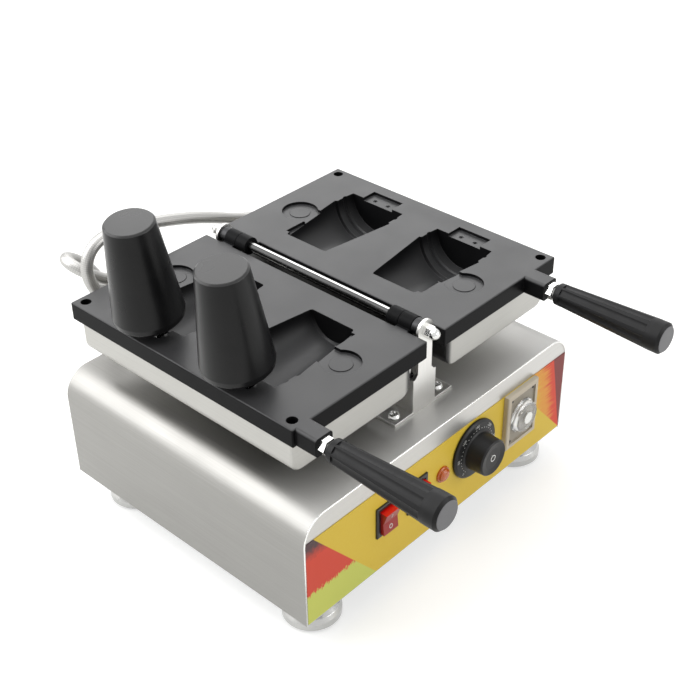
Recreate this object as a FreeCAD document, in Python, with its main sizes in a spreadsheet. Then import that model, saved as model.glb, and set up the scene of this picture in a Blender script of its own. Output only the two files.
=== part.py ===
"""Cup waffle maker: a sheet-steel base with two heated mould plates that swing on one shaft.

Frame: X runs along the control panel, -Y is the front, Z is up, and the origin lies on the floor under the
middle of the base. All sizes are millimetres.
"""
import FreeCAD, Part
import math
import os
import re

import Sketcher

Vector = FreeCAD.Vector
Rotation = FreeCAD.Rotation

SIZES = {
    # base housing
    "base_width": 340, "base_depth": 286, "cover_height": 106, "sheet": 1.5, "bend_radius": 24,
    "foot_height": 26, "foot_radius": 25, "foot_inset": 33, "foot_shift": 6,
    "foot_stud_radius": 3,
    "overlay_thickness": 0.6, "overlay_height": 84, "overlay_margin": 1.5,
    # mould plates
    "plate_inner": 10.7, "plate_outer": 161.7, "plate_length": 256, "plate_thickness": 16.4,
    "plate_level": 182.4, "plate_edge_radius": 1.2, "parting_gap": 1.0,
    "locating_hole_radius": 4.5, "locating_hole_depth": 9, "locating_hole_inset": 9,
    # half-cup cavities
    "cavity_offset": 51, "cavity_start": 37, "end_margin": 28.7, "land_length": 22, "cup_foot_radius": 23.5,
    "cup_rim_radius": 33.5, "land_radius": 31.4, "land_end_radius": 30.4, "ridge_height": 1.1,
    "ridge_width": 2.4, "cavity_wall": 4, "cavity_chamfer": 1.5,
    "ear_distance": 76, "ear_offset": 45, "ear_radius": 16.5, "ear_hole_radius": 9.5, "ear_depth": 2.6,
    "ear_neck_width": 24, "ear_neck_start": 20, "island_rise": 0.5,
    "ledge_start": 4, "ledge_lap": 2, "ledge_width": 4.5, "ledge_length": 22, "ledge_depth": 3,
    "pocket_lap": 1, "pocket_margin": 13.3, "pocket_width": 35, "pocket_depth": 9, "rest_depth": 2.8,
    # pans and heaters under the plates
    "pan_inner": 23, "pan_rim": 4.2, "pan_length": 243, "pan_depth": 31.5, "pan_wall": 1.2,
    "pan_corner_radius": 1.8, "pan_edge_radius": 11,
    "heater_radius": 3.5, "heater_gap": 0.1, "heater_inset": 10.5, "heater_bend": 18, "heater_tail": 14,
    "heater_room": 8, "heater_clear": 0.9,
    # hinge
    "shaft_radius": 4, "shaft_fit": 0.05, "thread_radius": 3, "knuckle_radius": 8,
    "inner_knuckle_start": 82, "inner_knuckle_end": 94, "outer_knuckle_end": 107.5, "knuckle_gap": 0.5,
    "eye_face": 117.5, "eye_radius": 9.5, "spacer_radius": 7.5, "spacer_gap": 0.3,
    "nut_height": 7, "nut_flats": 10, "dome_radius": 4.9, "dome_collar": 1.5,
    # hinge brackets
    "bracket_sheet": 2.5, "bracket_width": 28, "bracket_shoulder": 34, "neck_width": 17,
    "shoulder_drop": 5, "shoulder_cut": 2, "neck_rise": 4,
    "wing_top_depth": 13.5, "wing_flare": 40, "flange_reach": 36.5, "flange_depth": 30,
    "flange_screw_x": 27.5, "flange_screw_setback": 9, "screw_radius": 2.5, "screw_head_radius": 5,
    "screw_head_height": 3, "screw_length": 10, "screw_fit": 0.1,
    "stop_distance": 10.5, "stop_setback": 8, "stop_radius": 2, "stop_gap": 0.3, "stop_nut_flats": 6,
    "stop_nut_height": 3.2, "stop_below": 1, "tab_inner": 6,
    # handles
    "left_handle_inset": 11.7, "right_handle_inset": 35.7, "boss_width": 18, "boss_length": 20,
    "boss_root": 5, "boss_round": 3, "stud_radius": 4, "stud_fit": 0.05, "stud_thread": 10, "stud_gap": 0.1,
    "handle_nut_flats": 13, "handle_nut_height": 6,
    "grip_gap": 2.5, "grip_length": 104, "grip_start_radius": 9.5, "grip_end_radius": 13.5,
    "grip_start_round": 1.5, "grip_end_round": 2.5, "grip_taper_share": 0.9, "grip_bore_depth": 25,
    "flute_count": 8, "flute_radius": 6, "flute_depth": 1.06, "flute_start": 6, "flute_share": 0.8,
    # cores
    "pin_margin": 22.2, "core_standoff": 8, "cup_floor": 3.5, "core_tip_radius": 20.4,
    "core_base_radius": 29.4, "core_base_round": 6, "core_tip_round": 1.5, "core_lean": 6,
    "core_pin_radius": 1.5, "core_lug_width": 23, "core_lug_radius": 2.6, "core_fit": 0.05,
    "block_ear": 4.6, "block_side_gap": 0.4, "block_floor": 2.2, "block_gap": 0.2, "block_ear_radius": 2.9,
    "block_screw_spacing": 15.5, "block_screw_radius": 2, "block_screw_head": 3.2, "block_screw_cap": 2.2,
    "block_screw_edge": 0.5, "block_screw_depth": 5, "block_screw_shift": 1.5, "lug_lap": 2,
    "plug_recess": 0.4, "plug_socket_flats": 2, "plug_socket_depth": 1.6,
    # control panel
    "control_height": 53, "switch_first": -77, "switch_second": -39, "bezel_width": 25, "bezel_height": 31,
    "bezel_proud": 2.2, "bezel_round": 1.2,
    "switch_body_width": 21, "switch_body_height": 27, "switch_body_depth": 24,
    "rocker_width": 17.4, "rocker_height": 22.8, "rocker_side_gap": 0.5, "rocker_end_gap": 1.1,
    "rocker_pivot_depth": 1.6, "rocker_rise": 6.5, "rocker_dip": 4.2, "rocker_back": 4, "rocker_tilt": 7,
    "rocker_draft": 1, "rocker_lip": 1.5, "rocker_lip_share": 0.97, "rocker_room": 3,
    "lamp_x": -6, "lamp_radius": 7.5, "lamp_stem_radius": 5, "lamp_dome": 5, "lamp_stem_depth": 18,
    "lamp_rim": 1.6, "lamp_rim_top": 2.2, "lamp_rim_edge": 0.6, "lamp_lens_inset": 1.4,
    "dial_x": 35.5, "dial_height": 56, "skirt_radius": 28, "skirt_thickness": 4, "skirt_edge": 1.8,
    "knob_radius": 17.6, "knob_top_radius": 16.8, "knob_height": 18, "dial_gap": 0.5,
    "skirt_bevel": 2, "skirt_fall": 0.8, "knob_root": 1.5, "knob_round": 1.2, "knob_dish": 0.8,
    "dial_shaft_radius": 3, "dial_shaft_fit": 0.05, "dial_bore_depth": 12, "dial_shaft_reach": 10,
    "dial_shaft_room": 30,
    "thermostat_width": 36, "thermostat_height": 40, "thermostat_depth": 28, "thermostat_neck_radius": 5,
    "timer_x": 100, "timer_height": 56.5, "timer_width": 44, "timer_tall": 58, "timer_proud": 5,
    "timer_window_width": 35, "timer_window_tall": 49, "timer_window_depth": 1.5, "timer_frame": 1.6,
    "timer_body_width": 38, "timer_body_tall": 46, "timer_body_depth": 62,
    "timer_knob_radius": 15, "timer_knob_height": 7, "timer_knob_foot": 16.5, "timer_hub_radius": 2,
    "timer_hub_depth": 6, "timer_gap": 0.3, "timer_foot_edge": 1, "timer_knob_draft": 0.6,
    "timer_knob_round": 0.8,
    "panel_fit": 0.2,
    # services
    "conduit_radius": 5.5, "gland_radius": 8, "gland_flange_radius": 10, "gland_length": 15, "gland_neck": 4,
    "gland_wall": 2, "gland_step": 1, "gland_taper": 4,
    "left_gland_x": -62, "right_gland_x": 86, "pan_gland_drop": 13,
    "left_entry_inset": 100, "right_entry_inset": 140, "entry_height": 58, "entry_bend": 36,
    "conduit_gap": 0.2, "mains_inset": 50, "mains_height": 50,
    "block_length": 70, "block_width": 24, "block_height": 26, "vent_length": 60, "vent_height": 4,
    "vent_pitch": 11, "vent_count": 4, "vent_x": 20, "vent_start": 34,
}
# sizes that follow others, so that a longer plate or a wider base keeps its fittings together
FOLLOWERS = {
    "cavity_end": "(plate_outer - end_margin)",
    "cup_rim": "(plate_outer - end_margin - land_length)",
    "pocket_start": "(plate_outer - end_margin - pocket_lap)",
    "pocket_end": "(plate_outer - pocket_margin)",
    "pan_outer": "(plate_outer - pan_rim)",
    "core_pin_distance": "(plate_outer - pin_margin)",
    "core_length": "(plate_outer - pin_margin - core_standoff - cavity_start - cup_floor)",
    "left_handle_distance": "(plate_outer - left_handle_inset)",
    "right_handle_distance": "(plate_outer - right_handle_inset)",
    "left_entry_x": "(left_entry_inset - base_width / 2)",
    "right_entry_x": "(right_entry_inset - base_width / 2)",
    "mains_x": "(base_width / 2 - mains_inset)",
}

doc = FreeCAD.newDocument("cup_waffle_maker")
sheet = doc.addObject("Spreadsheet::Sheet", "sizes")
for row, (alias, number) in enumerate(SIZES.items(), 1):
    sheet.set(f"A{row}", alias)
    sheet.set(f"B{row}", str(number))
    sheet.setAlias(f"B{row}", alias)
doc.recompute()

NAMES = re.compile(r"\b(" + "|".join(SIZES) + r")\b")
FOLLOWER_NAMES = re.compile(r"\b(" + "|".join(FOLLOWERS) + r")\b")
probe = doc.addObject("App::FeaturePython", "probe")
probe.addProperty("App::PropertyFloat", "value")
TURN_X = Rotation(Vector(1, 0, 0), 90)       # local z points to the front
TURN_BACK = Rotation(Vector(1, 0, 0), -90)   # local z points to the back
TURN_RIGHT = Rotation(Vector(0, 1, 0), 90)   # local z points to +X
TURN_LEFT = Rotation(Vector(0, 1, 0), -90)   # local z points to -X
TURN_SECTION = Rotation(Vector(1, 1, 1), 120)  # local x, y, z point to Y, Z, X
STRAIGHT = Rotation()

# heights and depths that several pieces share
FRONT = "(-base_depth / 2)"
BACK = "(base_depth / 2)"
COVER_TOP = "(foot_height + cover_height)"
PLATE_TOP = "(foot_height + plate_level)"
PLATE_UNDER = f"({PLATE_TOP} - plate_thickness)"
AXIS = f"({PLATE_TOP} + parting_gap / 2)"
PAN_FLOOR = f"({PLATE_UNDER} - pan_depth)"
OVERLAY_FACE = f"({FRONT} - overlay_thickness)"
SHOULDER = f"({COVER_TOP} + bracket_shoulder)"


def bind(thing, prop, text):
    """Tie a property to sizes of the sheet."""
    spelled = FOLLOWER_NAMES.sub(lambda found: FOLLOWERS[found.group(1)], text)
    thing.setExpression(prop, NAMES.sub(r"sizes.\1", spelled))


def size(text):
    """The number that a size, or a sum of sizes, comes to."""
    bind(probe, "value", text)
    doc.recompute([probe])
    return probe.value


def place(thing, x="0", y="0", z="0", turn=STRAIGHT):
    """Put a piece at bound coordinates, turned by a fixed rotation."""
    thing.Placement = FreeCAD.Placement(Vector(), turn)
    for axis, text in zip("xyz", (x, y, z)):
        bind(thing, f"Placement.Base.{axis}", text)
    return thing


def box(label, lengths, corner):
    """A block with bound edge lengths, from its lowest corner."""
    thing = doc.addObject("Part::Box", label)
    for prop, text in zip(("Length", "Width", "Height"), lengths):
        bind(thing, prop, text)
    return place(thing, *corner)


def cylinder(label, radius, height, base, turn=STRAIGHT):
    """A round bar from its base centre, along the turned z axis."""
    thing = doc.addObject("Part::Cylinder", label)
    bind(thing, "Radius", radius)
    bind(thing, "Height", height)
    return place(thing, *base, turn)


def prism(label, flats, height, base, turn=STRAIGHT):
    """A hexagonal nut blank with a bound width across flats."""
    thing = doc.addObject("Part::Prism", label)
    thing.Polygon = 6
    bind(thing, "Circumradius", f"({flats}) / 2 / cos(30)")
    bind(thing, "Height", height)
    return place(thing, *base, turn)


def outline(body, plane, points):
    """A closed sketch of straight sides whose corners are bound, on one of the body's own planes."""
    sketch = body.newObject("Sketcher::SketchObject", body.Name + "_outline")
    support = [f for f in body.Origin.OriginFeatures if f.Role == plane][0]
    sketch.AttachmentSupport = [(support, "")]
    sketch.MapMode = "FlatFace"
    corners = [Vector(size(across), size(up), 0) for across, up in points]
    count = len(points)
    for i in range(count):
        sketch.addGeometry(Part.LineSegment(corners[i], corners[(i + 1) % count]))
    for i in range(count):
        sketch.addConstraint(Sketcher.Constraint("Coincident", i, 2, (i + 1) % count, 1))
    for i, pair in enumerate(points):
        for kind, text, number in zip(("DistanceX", "DistanceY"), pair, corners[i]):
            index = sketch.addConstraint(Sketcher.Constraint(kind, -1, 1, i, 1, number))
            bind(sketch, f"Constraints[{index}]", text)
    doc.recompute()
    return sketch


def lathe(label, points, base=("0", "0", "0"), turn=STRAIGHT):
    """A turned piece: (radius, height) corners revolved about the local z axis."""
    body = doc.addObject("PartDesign::Body", label)
    sketch = outline(body, "XZ_Plane", points)
    turned = body.newObject("PartDesign::Revolution", label + "_turned")
    turned.Profile = sketch
    turned.ReferenceAxis = (sketch, ["V_Axis"])
    turned.Angle = 360
    place(body, *base, turn)
    doc.recompute()
    return body


def slab(label, points, thickness, base=("0", "0", "0"), turn=STRAIGHT):
    """A flat piece: an outline padded along the local z axis."""
    body = doc.addObject("PartDesign::Body", label)
    sketch = outline(body, "XY_Plane", points)
    pad = body.newObject("PartDesign::Pad", label + "_pad")
    pad.Profile = sketch
    bind(pad, "Length", thickness)
    place(body, *base, turn)
    doc.recompute()
    return body


def fuse(label, shapes):
    """Several bodies of one casting or weldment made one."""
    thing = doc.addObject("Part::MultiFuse", label)
    thing.Shapes = shapes
    thing.Refine = True
    doc.recompute()
    return thing


def cut(label, base, tools):
    """A piece with holes, pockets or trimmed sides."""
    tool = tools[0]
    if len(tools) > 1:
        tool = fuse(label + "_tools", tools)
    thing = doc.addObject("Part::Cut", label)
    thing.Base = base
    thing.Tool = tool
    thing.Refine = True
    doc.recompute()
    if thing.Shape.Volume >= base.Shape.Volume:
        raise RuntimeError(f"{label}: the cut removed nothing")
    return thing


def rounded(label, base, radius, pick):
    """A piece with the edges that pick chooses rounded to a radius of the sheet."""
    thing = doc.addObject("Part::Fillet", label)
    thing.Base = base
    edges = [i for i, edge in enumerate(base.Shape.Edges, 1) if pick(edge)]
    thing.Edges = [(i, radius, radius) for i in edges]
    doc.recompute()
    return thing


def along(edge, axis):
    """Whether an edge is a straight line along a coordinate axis."""
    if edge.Curve.TypeId != "Part::GeomLine":
        return False
    direction = edge.tangentAt(edge.FirstParameter)
    return abs(direction[axis]) > 0.999


def group(label, source, shifts):
    """Copies of one small piece as separate solids of one node."""
    thing = doc.addObject("Part::Feature", label)
    copies = [source.Shape.translated(Vector(*shift)) for shift in shifts]
    thing.Shape = Part.makeCompound(copies)
    return thing


NODES = {}


def node(name, thing):
    """Give a finished sub-part its label and list it for writing."""
    thing.Label = name
    NODES[name] = thing
    return thing


def end_outline(label, gap):
    """The base's end wall: a sheet that fits inside the cover, with its two round upper corners."""
    side = f"(base_width / 2 - sheet - {gap})"
    blank = box(
        label + "_blank",
        (f"2 * {side}", "sheet", f"cover_height - sheet - {gap}"),
        (f"-{side}", "0", "foot_height"),
    )
    doc.recompute()
    top = size("foot_height") + size("cover_height") - size("sheet")
    radius = size("bend_radius") - size("sheet")
    return rounded(
        label + "_round", blank, radius,
        lambda e: along(e, 1) and abs(e.CenterOfMass.z - top) < 1,
    )


# base cover: an inverted U of brushed sheet
cover_blank = box(
    "cover_blank", ("base_width", "base_depth", "cover_height"), ("-base_width / 2", FRONT, "foot_height")
)
cover_hollow = box(
    "cover_hollow",
    ("base_width - 2 * sheet", "base_depth", "cover_height - sheet"),
    ("sheet - base_width / 2", FRONT, "foot_height"),
)
doc.recompute()
cover_crown = size("foot_height") + size("cover_height") - 2 * size("sheet")
cover_outer = rounded(
    "cover_outer", cover_blank, size("bend_radius"), lambda e: along(e, 1) and e.CenterOfMass.z > cover_crown
)
cover_inner = rounded(
    "cover_inner", cover_hollow, size("bend_radius") - size("sheet"),
    lambda e: along(e, 1) and e.CenterOfMass.z > cover_crown,
)
cover_shell = cut("cover_shell", cover_outer, [cover_inner])
SCREW_DEPTH = "(eye_face - flange_screw_setback)"
cover_holes = [
    cylinder(
        f"cover_hole_{i}", "screw_radius + screw_fit", "3 * sheet",
        (f"{sx} * flange_screw_x", f"{sy} * {SCREW_DEPTH}", f"{COVER_TOP} - 2 * sheet"),
    )
    for i, (sx, sy) in enumerate(((-1, -1), (1, -1), (-1, 1), (1, 1)))
]
node("base_cover", cut("cover_drilled", cover_shell, cover_holes))

# floor of the base, on four turned feet
floor_blank = box(
    "floor_blank",
    ("base_width - 2 * sheet", "base_depth - 2 * sheet", "sheet"),
    ("sheet - base_width / 2", f"{FRONT} + sheet", "foot_height"),
)
FOOT_X = "(base_width / 2 - foot_inset)"
FOOT_Y = "(base_depth / 2 - foot_inset)"
floor_holes = [
    cylinder(
        f"floor_hole_{i}", "foot_stud_radius + screw_fit", "3 * sheet",
        (f"{sx} * {FOOT_X}", f"{sy} * {FOOT_Y} - foot_shift", "foot_height - sheet"),
    )
    for i, (sx, sy) in enumerate(((-1, -1), (1, -1), (-1, 1), (1, 1)))
]
node("base_bottom", cut("floor_drilled", floor_blank, floor_holes))
foot = lathe(
    "foot",
    [
        ("0", "0"), ("foot_radius * 0.9", "0"), ("foot_radius", "foot_height * 0.1"),
        ("foot_radius", "foot_height * 0.32"), ("foot_radius * 0.92", "foot_height * 0.48"),
        ("foot_radius * 0.7", "foot_height * 0.64"), ("foot_radius * 0.6", "foot_height * 0.84"),
        ("foot_radius * 0.6", "foot_height"), ("foot_stud_radius", "foot_height"),
        ("foot_stud_radius", "foot_height + 4 * sheet"),
        ("0", "foot_height + 4 * sheet"),
    ],
)
foot_x = size("base_width") / 2 - size("foot_inset")
foot_y = size("base_depth") / 2 - size("foot_inset")
CORNERS = [(sx, sy) for sx in (-1, 1) for sy in (-1, 1)]
foot_places = [(sx * foot_x, sy * foot_y - size("foot_shift"), 0) for sx, sy in CORNERS]
node("feet", group("feet_group", foot, foot_places))


# control panel: openings for the controls are shared by the front plate and the printed overlay
def panel_openings(tag, clearance):
    """The holes for the switches, lamp, dial shaft and timer, cut from the front."""
    deep = "4 * sheet"
    front = f"{FRONT} - 2 * sheet"
    level = "foot_height + control_height"
    tools = []
    for i, x in enumerate(("switch_first", "switch_second")):
        wide = f"(switch_body_width + 2 * {clearance})"
        tall = f"(switch_body_height + 2 * {clearance})"
        corner = (f"{x} - {wide} / 2", front, f"{level} - {tall} / 2")
        tools.append(box(f"{tag}_switch_{i}", (wide, deep, tall), corner))
    tools.append(
        cylinder(
            f"{tag}_lamp", f"lamp_stem_radius + {clearance}", deep,
            ("lamp_x", f"{front} + {deep}", level), TURN_X,
        )
    )
    tools.append(
        cylinder(
            f"{tag}_dial", f"thermostat_neck_radius + {clearance}", deep,
            ("dial_x", f"{front} + {deep}", "foot_height + dial_height"), TURN_X,
        )
    )
    wide = f"(timer_body_width + 2 * {clearance})"
    tall = f"(timer_body_tall + 2 * {clearance})"
    tools.append(
        box(
            f"{tag}_timer", (wide, deep, tall),
            (f"timer_x - {wide} / 2", front, f"foot_height + timer_height - {tall} / 2"),
        )
    )
    return tools


front_blank = end_outline("front", "0")
bind(front_blank.Base, "Placement.Base.y", FRONT)
doc.recompute()
node("front_plate", cut("front_cut", front_blank, panel_openings("front", "panel_fit")))
overlay_blank = box(
    "overlay_blank",
    ("base_width - 2 * overlay_margin", "overlay_thickness", "overlay_height"),
    ("overlay_margin - base_width / 2", OVERLAY_FACE, "foot_height + overlay_margin"),
)
doc.recompute()
node("panel_overlay", cut("overlay_cut", overlay_blank, panel_openings("overlay", "panel_fit")))

# rear wall with cooling slots and the cable entries
rear_blank = end_outline("rear", "0")
bind(rear_blank.Base, "Placement.Base.y", f"{BACK} - sheet")
doc.recompute()
ENTRY_Z = "(foot_height + entry_height)"
MAINS_Z = "(foot_height + mains_height)"
ENTRIES = (("left_entry_x", ENTRY_Z), ("right_entry_x", ENTRY_Z), ("mains_x", MAINS_Z))
rear_tools = [
    cylinder(f"rear_hole_{i}", "gland_radius", "4 * sheet", (x, f"{BACK} + 2 * sheet", z), TURN_X)
    for i, (x, z) in enumerate(ENTRIES)
]
for i in range(int(size("vent_count"))):
    slot = box(
        f"vent_{i}", ("vent_length", "4 * sheet", "vent_height"),
        ("vent_x - vent_length / 2", f"{BACK} - 2 * sheet", f"foot_height + vent_start + {i} * vent_pitch"),
    )
    rear_tools.append(slot)
node("rear_plate", cut("rear_cut", rear_blank, rear_tools))


# hinge: one shaft in two brackets, with spacers and domed cap nuts
THREAD_END = "(eye_face + nut_height)"
node(
    "hinge_shaft",
    lathe(
        "shaft_turned",
        [
            ("0", f"-{THREAD_END}"), ("thread_radius", f"-{THREAD_END}"), ("thread_radius", "-eye_face"),
            ("shaft_radius", "-eye_face"), ("shaft_radius", "eye_face"), ("thread_radius", "eye_face"),
            ("thread_radius", THREAD_END), ("0", THREAD_END),
        ],
        ("0", "0", AXIS), TURN_BACK,
    ),
)


def mirrored(label, source):
    """The same piece for the back end of the hinge."""
    thing = doc.addObject("Part::Mirroring", label)
    thing.Source = source
    thing.Normal = Vector(0, 1, 0)
    doc.recompute()
    return thing


def front_spacer():
    """A turned steel spacer between the outer knuckle and the bracket's eye."""
    length = "(eye_face - bracket_sheet - outer_knuckle_end - 2 * spacer_gap)"
    start = ("0", "spacer_gap - eye_face + bracket_sheet", AXIS)
    bar = cylinder("spacer_bar", "spacer_radius", length, start, TURN_BACK)
    eye = ("0", "-eye_face", AXIS)
    bore = cylinder("spacer_bore", "shaft_radius + shaft_fit", "eye_face", eye, TURN_BACK)
    return cut("spacer_front", bar, [bore])


def front_cap_nut():
    """A hexagon nut with a domed cap, screwed against the bracket's eye."""
    seat = ("0", "-eye_face", AXIS)
    hexagon = prism("nut_hex", "nut_flats", "nut_height", seat, TURN_X)
    dome = doc.addObject("Part::Sphere", "nut_dome")
    bind(dome, "Radius", "dome_radius")
    place(dome, "0", "-eye_face - nut_height - dome_collar", AXIS)
    face = ("0", "-eye_face - nut_height", AXIS)
    collar = cylinder("nut_collar", "dome_radius", "dome_collar", face, TURN_X)
    thread = cylinder("nut_thread", "thread_radius", "nut_height", seat, TURN_X)
    return cut("nut_front", fuse("nut_solid", [hexagon, dome, collar]), [thread])


def both_ends(label, front):
    """A front piece and its mirror image at the back, as two solids of one node."""
    back = mirrored(label + "_back", front)
    thing = doc.addObject("Part::Compound", label)
    thing.Links = [front, back]
    doc.recompute()
    return thing


node("shaft_spacers", both_ends("spacers", front_spacer()))
node("cap_nuts", both_ends("nuts", front_cap_nut()))


def front_bracket():
    """A folded bracket: a web with a neck and eye, two flared wings, two foot flanges and two stop tabs."""
    half = "(bracket_width / 2)"
    neck = "(neck_width / 2)"
    web = slab(
        "bracket_web",
        [
            (f"-{half}", COVER_TOP), (half, COVER_TOP), (half, f"{SHOULDER} - shoulder_drop"),
            (f"{half} - shoulder_cut", SHOULDER), (neck, f"{SHOULDER} + neck_rise"), (neck, AXIS),
            (f"-{neck}", AXIS), (f"-{neck}", f"{SHOULDER} + neck_rise"), (f"shoulder_cut - {half}", SHOULDER),
            (f"-{half}", f"{SHOULDER} - shoulder_drop"),
        ],
        "bracket_sheet", ("0", "bracket_sheet - eye_face", "0"), TURN_X,
    )
    eye_base = ("0", "bracket_sheet - eye_face", AXIS)
    eye = cylinder("bracket_eye", "eye_radius", "bracket_sheet", eye_base, TURN_X)
    parts = [web, eye]
    holes = [
        cylinder(
            "eye_hole", "shaft_radius + shaft_fit", "3 * bracket_sheet",
            ("0", "2 * bracket_sheet - eye_face", AXIS), TURN_X,
        )
    ]
    flare = cylinder(
        "wing_flare_cut", "wing_flare", "2 * bracket_width",
        ("-bracket_width", "wing_top_depth + wing_flare - eye_face", SHOULDER), TURN_RIGHT,
    )
    for side, sign in (("left", -1), ("right", 1)):
        low = f"-{half}" if sign < 0 else f"{half} - bracket_sheet"
        wing = box(
            f"wing_{side}_blank", ("bracket_sheet", "flange_depth", "bracket_shoulder"),
            (low, "-eye_face", COVER_TOP),
        )
        parts.append(cut(f"wing_{side}", wing, [flare]))
        reach = f"(flange_reach - {half} + bracket_sheet)"
        low = "-flange_reach" if sign < 0 else f"{half} - bracket_sheet"
        parts.append(
            box(f"flange_{side}", (reach, "flange_depth", "bracket_sheet"), (low, "-eye_face", COVER_TOP))
        )
        tab_length = f"({half} - tab_inner)"
        low = f"-{half}" if sign < 0 else "tab_inner"
        parts.append(
            box(
                f"tab_{side}", (tab_length, "wing_top_depth", "bracket_sheet"),
                (low, "-eye_face", f"{SHOULDER} - bracket_sheet"),
            )
        )
        holes.append(
            cylinder(
                f"flange_{side}_hole", "screw_radius + screw_fit", "3 * bracket_sheet",
                (f"{sign} * flange_screw_x", f"-{SCREW_DEPTH}", f"{COVER_TOP} - bracket_sheet"),
            )
        )
        holes.append(
            cylinder(
                f"tab_{side}_hole", "stop_radius", "3 * bracket_sheet",
                (f"{sign} * stop_distance", "stop_setback - eye_face", f"{SHOULDER} - 2 * bracket_sheet"),
            )
        )
    return cut("bracket_front", fuse("bracket_solid", parts), holes)


bracket = front_bracket()
node("hinge_bracket_front", bracket)
node("hinge_bracket_rear", mirrored("bracket_rear", bracket))
pan_head = lathe(
    "pan_head_screw",
    [
        ("0", "bracket_sheet - screw_length"), ("screw_radius", "bracket_sheet - screw_length"),
        ("screw_radius", "bracket_sheet"), ("screw_head_radius", "bracket_sheet"),
        ("screw_head_radius", "bracket_sheet + screw_head_height * 0.45"),
        ("screw_head_radius * 0.75", "bracket_sheet + screw_head_height * 0.85"),
        ("screw_head_radius * 0.4", "bracket_sheet + screw_head_height"),
        ("0", "bracket_sheet + screw_head_height"),
    ],
)
cover_top = size("foot_height") + size("cover_height")
screw_y = size("eye_face") - size("flange_screw_setback")
screw_places = [(sx * size("flange_screw_x"), sy * screw_y, cover_top) for sx, sy in CORNERS]
node("bracket_screws", group("bracket_screw_group", pan_head, screw_places))

# adjustable stops: a set screw and lock nut in each bracket tab carry the open plate's inner rim
stop_x = size("stop_distance")
stop_y = size("eye_face") - size("stop_setback")
stop_places = [(sx * stop_x, sy * stop_y, 0) for sx, sy in CORNERS]
stop_screw = cylinder(
    "stop_screw", "stop_radius", f"{PLATE_UNDER} - stop_gap - {SHOULDER} + bracket_sheet + stop_below",
    ("0", "0", f"{SHOULDER} - bracket_sheet - stop_below"),
)
stop_nut_blank = prism("stop_nut_blank", "stop_nut_flats", "stop_nut_height", ("0", "0", SHOULDER))
stop_nut_bore = cylinder("stop_nut_bore", "stop_radius", "2 * stop_nut_height", ("0", "0", SHOULDER))
stop_nut = cut("stop_nut", stop_nut_blank, [stop_nut_bore])
node("stop_screws", group("stop_screw_group", stop_screw, stop_places))
node("stop_lock_nuts", group("stop_nut_group", stop_nut, stop_places))


# mould plates: the left one's pockets hold the core hinges, the right one's only make room for them
POCKET_DEPTHS = {-1: "pocket_depth", 1: "rest_depth"}


def cavity_tools(tag, sign, row):
    """One half-cup cavity: the turned cup and core seat, the ear with its low disc, and the pocket."""
    turn = TURN_RIGHT if sign > 0 else TURN_LEFT
    y = f"({row} * cavity_offset)"
    ridge = "((cup_rim + cavity_end) / 2)"
    cup = lathe(
        f"{tag}_cup",
        [
            ("0", "cavity_start"), ("cup_foot_radius - cavity_chamfer", "cavity_start"),
            ("cup_foot_radius", "cavity_start + cavity_chamfer"),
            ("cup_rim_radius", "cup_rim"), ("land_radius", "cup_rim + cavity_chamfer"),
            ("land_radius", f"{ridge} - ridge_width"),
            ("land_radius + ridge_height", f"{ridge} - ridge_width / 2"),
            ("land_radius + ridge_height", f"{ridge} + ridge_width / 2"),
            ("land_radius", f"{ridge} + ridge_width"),
            ("land_end_radius", "cavity_end"), ("0", "cavity_end"),
        ],
        ("0", y, AXIS), turn,
    )
    ear_y = f"({row} * (cavity_offset + ear_offset))"
    ear_base = (f"{sign} * ear_distance", ear_y, f"{PLATE_TOP} - ear_depth")
    ear = cylinder(f"{tag}_ear", "ear_radius", "2 * ear_depth", ear_base)
    neck_low = "cavity_offset + ear_neck_start" if row > 0 else "-cavity_offset - ear_offset"
    neck = box(
        f"{tag}_neck", ("ear_neck_width", "ear_offset - ear_neck_start", "2 * ear_depth"),
        (f"{sign} * ear_distance - ear_neck_width / 2", neck_low, f"{PLATE_TOP} - ear_depth"),
    )
    island = cylinder(f"{tag}_island", "ear_hole_radius", "island_rise", ear_base)
    recess = cut(f"{tag}_recess", fuse(f"{tag}_ear_and_neck", [ear, neck]), [island])
    low_x = "cavity_start + ledge_start" if sign > 0 else "-cavity_start - ledge_start - ledge_length"
    edge_y = "(cavity_offset + cup_foot_radius)"
    low_y = f"{edge_y} - ledge_lap" if row > 0 else f"-{edge_y} - ledge_width"
    ledge = box(
        f"{tag}_ledge", ("ledge_length", "ledge_width + ledge_lap", "2 * ledge_depth"),
        (low_x, low_y, f"{PLATE_TOP} - ledge_depth"),
    )
    low_x = "pocket_start" if sign > 0 else "-pocket_end"
    pocket = box(
        f"{tag}_pocket", ("pocket_end - pocket_start", "pocket_width", f"2 * {POCKET_DEPTHS[sign]}"),
        (low_x, f"{y} - pocket_width / 2", f"{PLATE_TOP} - {POCKET_DEPTHS[sign]}"),
    )
    return [cup, recess, ledge, pocket]


def cavity_shell(tag, sign, row):
    """The rounded back of a cavity, which hangs below the plate inside the pan."""
    turn = TURN_RIGHT if sign > 0 else TURN_LEFT
    solid = lathe(
        f"{tag}_back",
        [
            ("0", "cavity_start - cavity_wall"),
            ("cup_foot_radius + cavity_wall", "cavity_start - cavity_wall"),
            ("cup_rim_radius + cavity_wall", "cup_rim"),
            ("cup_rim_radius + cavity_wall", "cavity_end + cavity_wall"),
            ("0", "cavity_end + cavity_wall"),
        ],
        ("0", f"{row} * cavity_offset", AXIS), turn,
    )
    above = box(
        f"{tag}_above", ("2 * plate_outer", "plate_length", "4 * cup_rim_radius"),
        ("-plate_outer", "-plate_length / 2", f"{PLATE_TOP} - plate_thickness / 2"),
    )
    return cut(f"{tag}_under", solid, [above])


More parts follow.
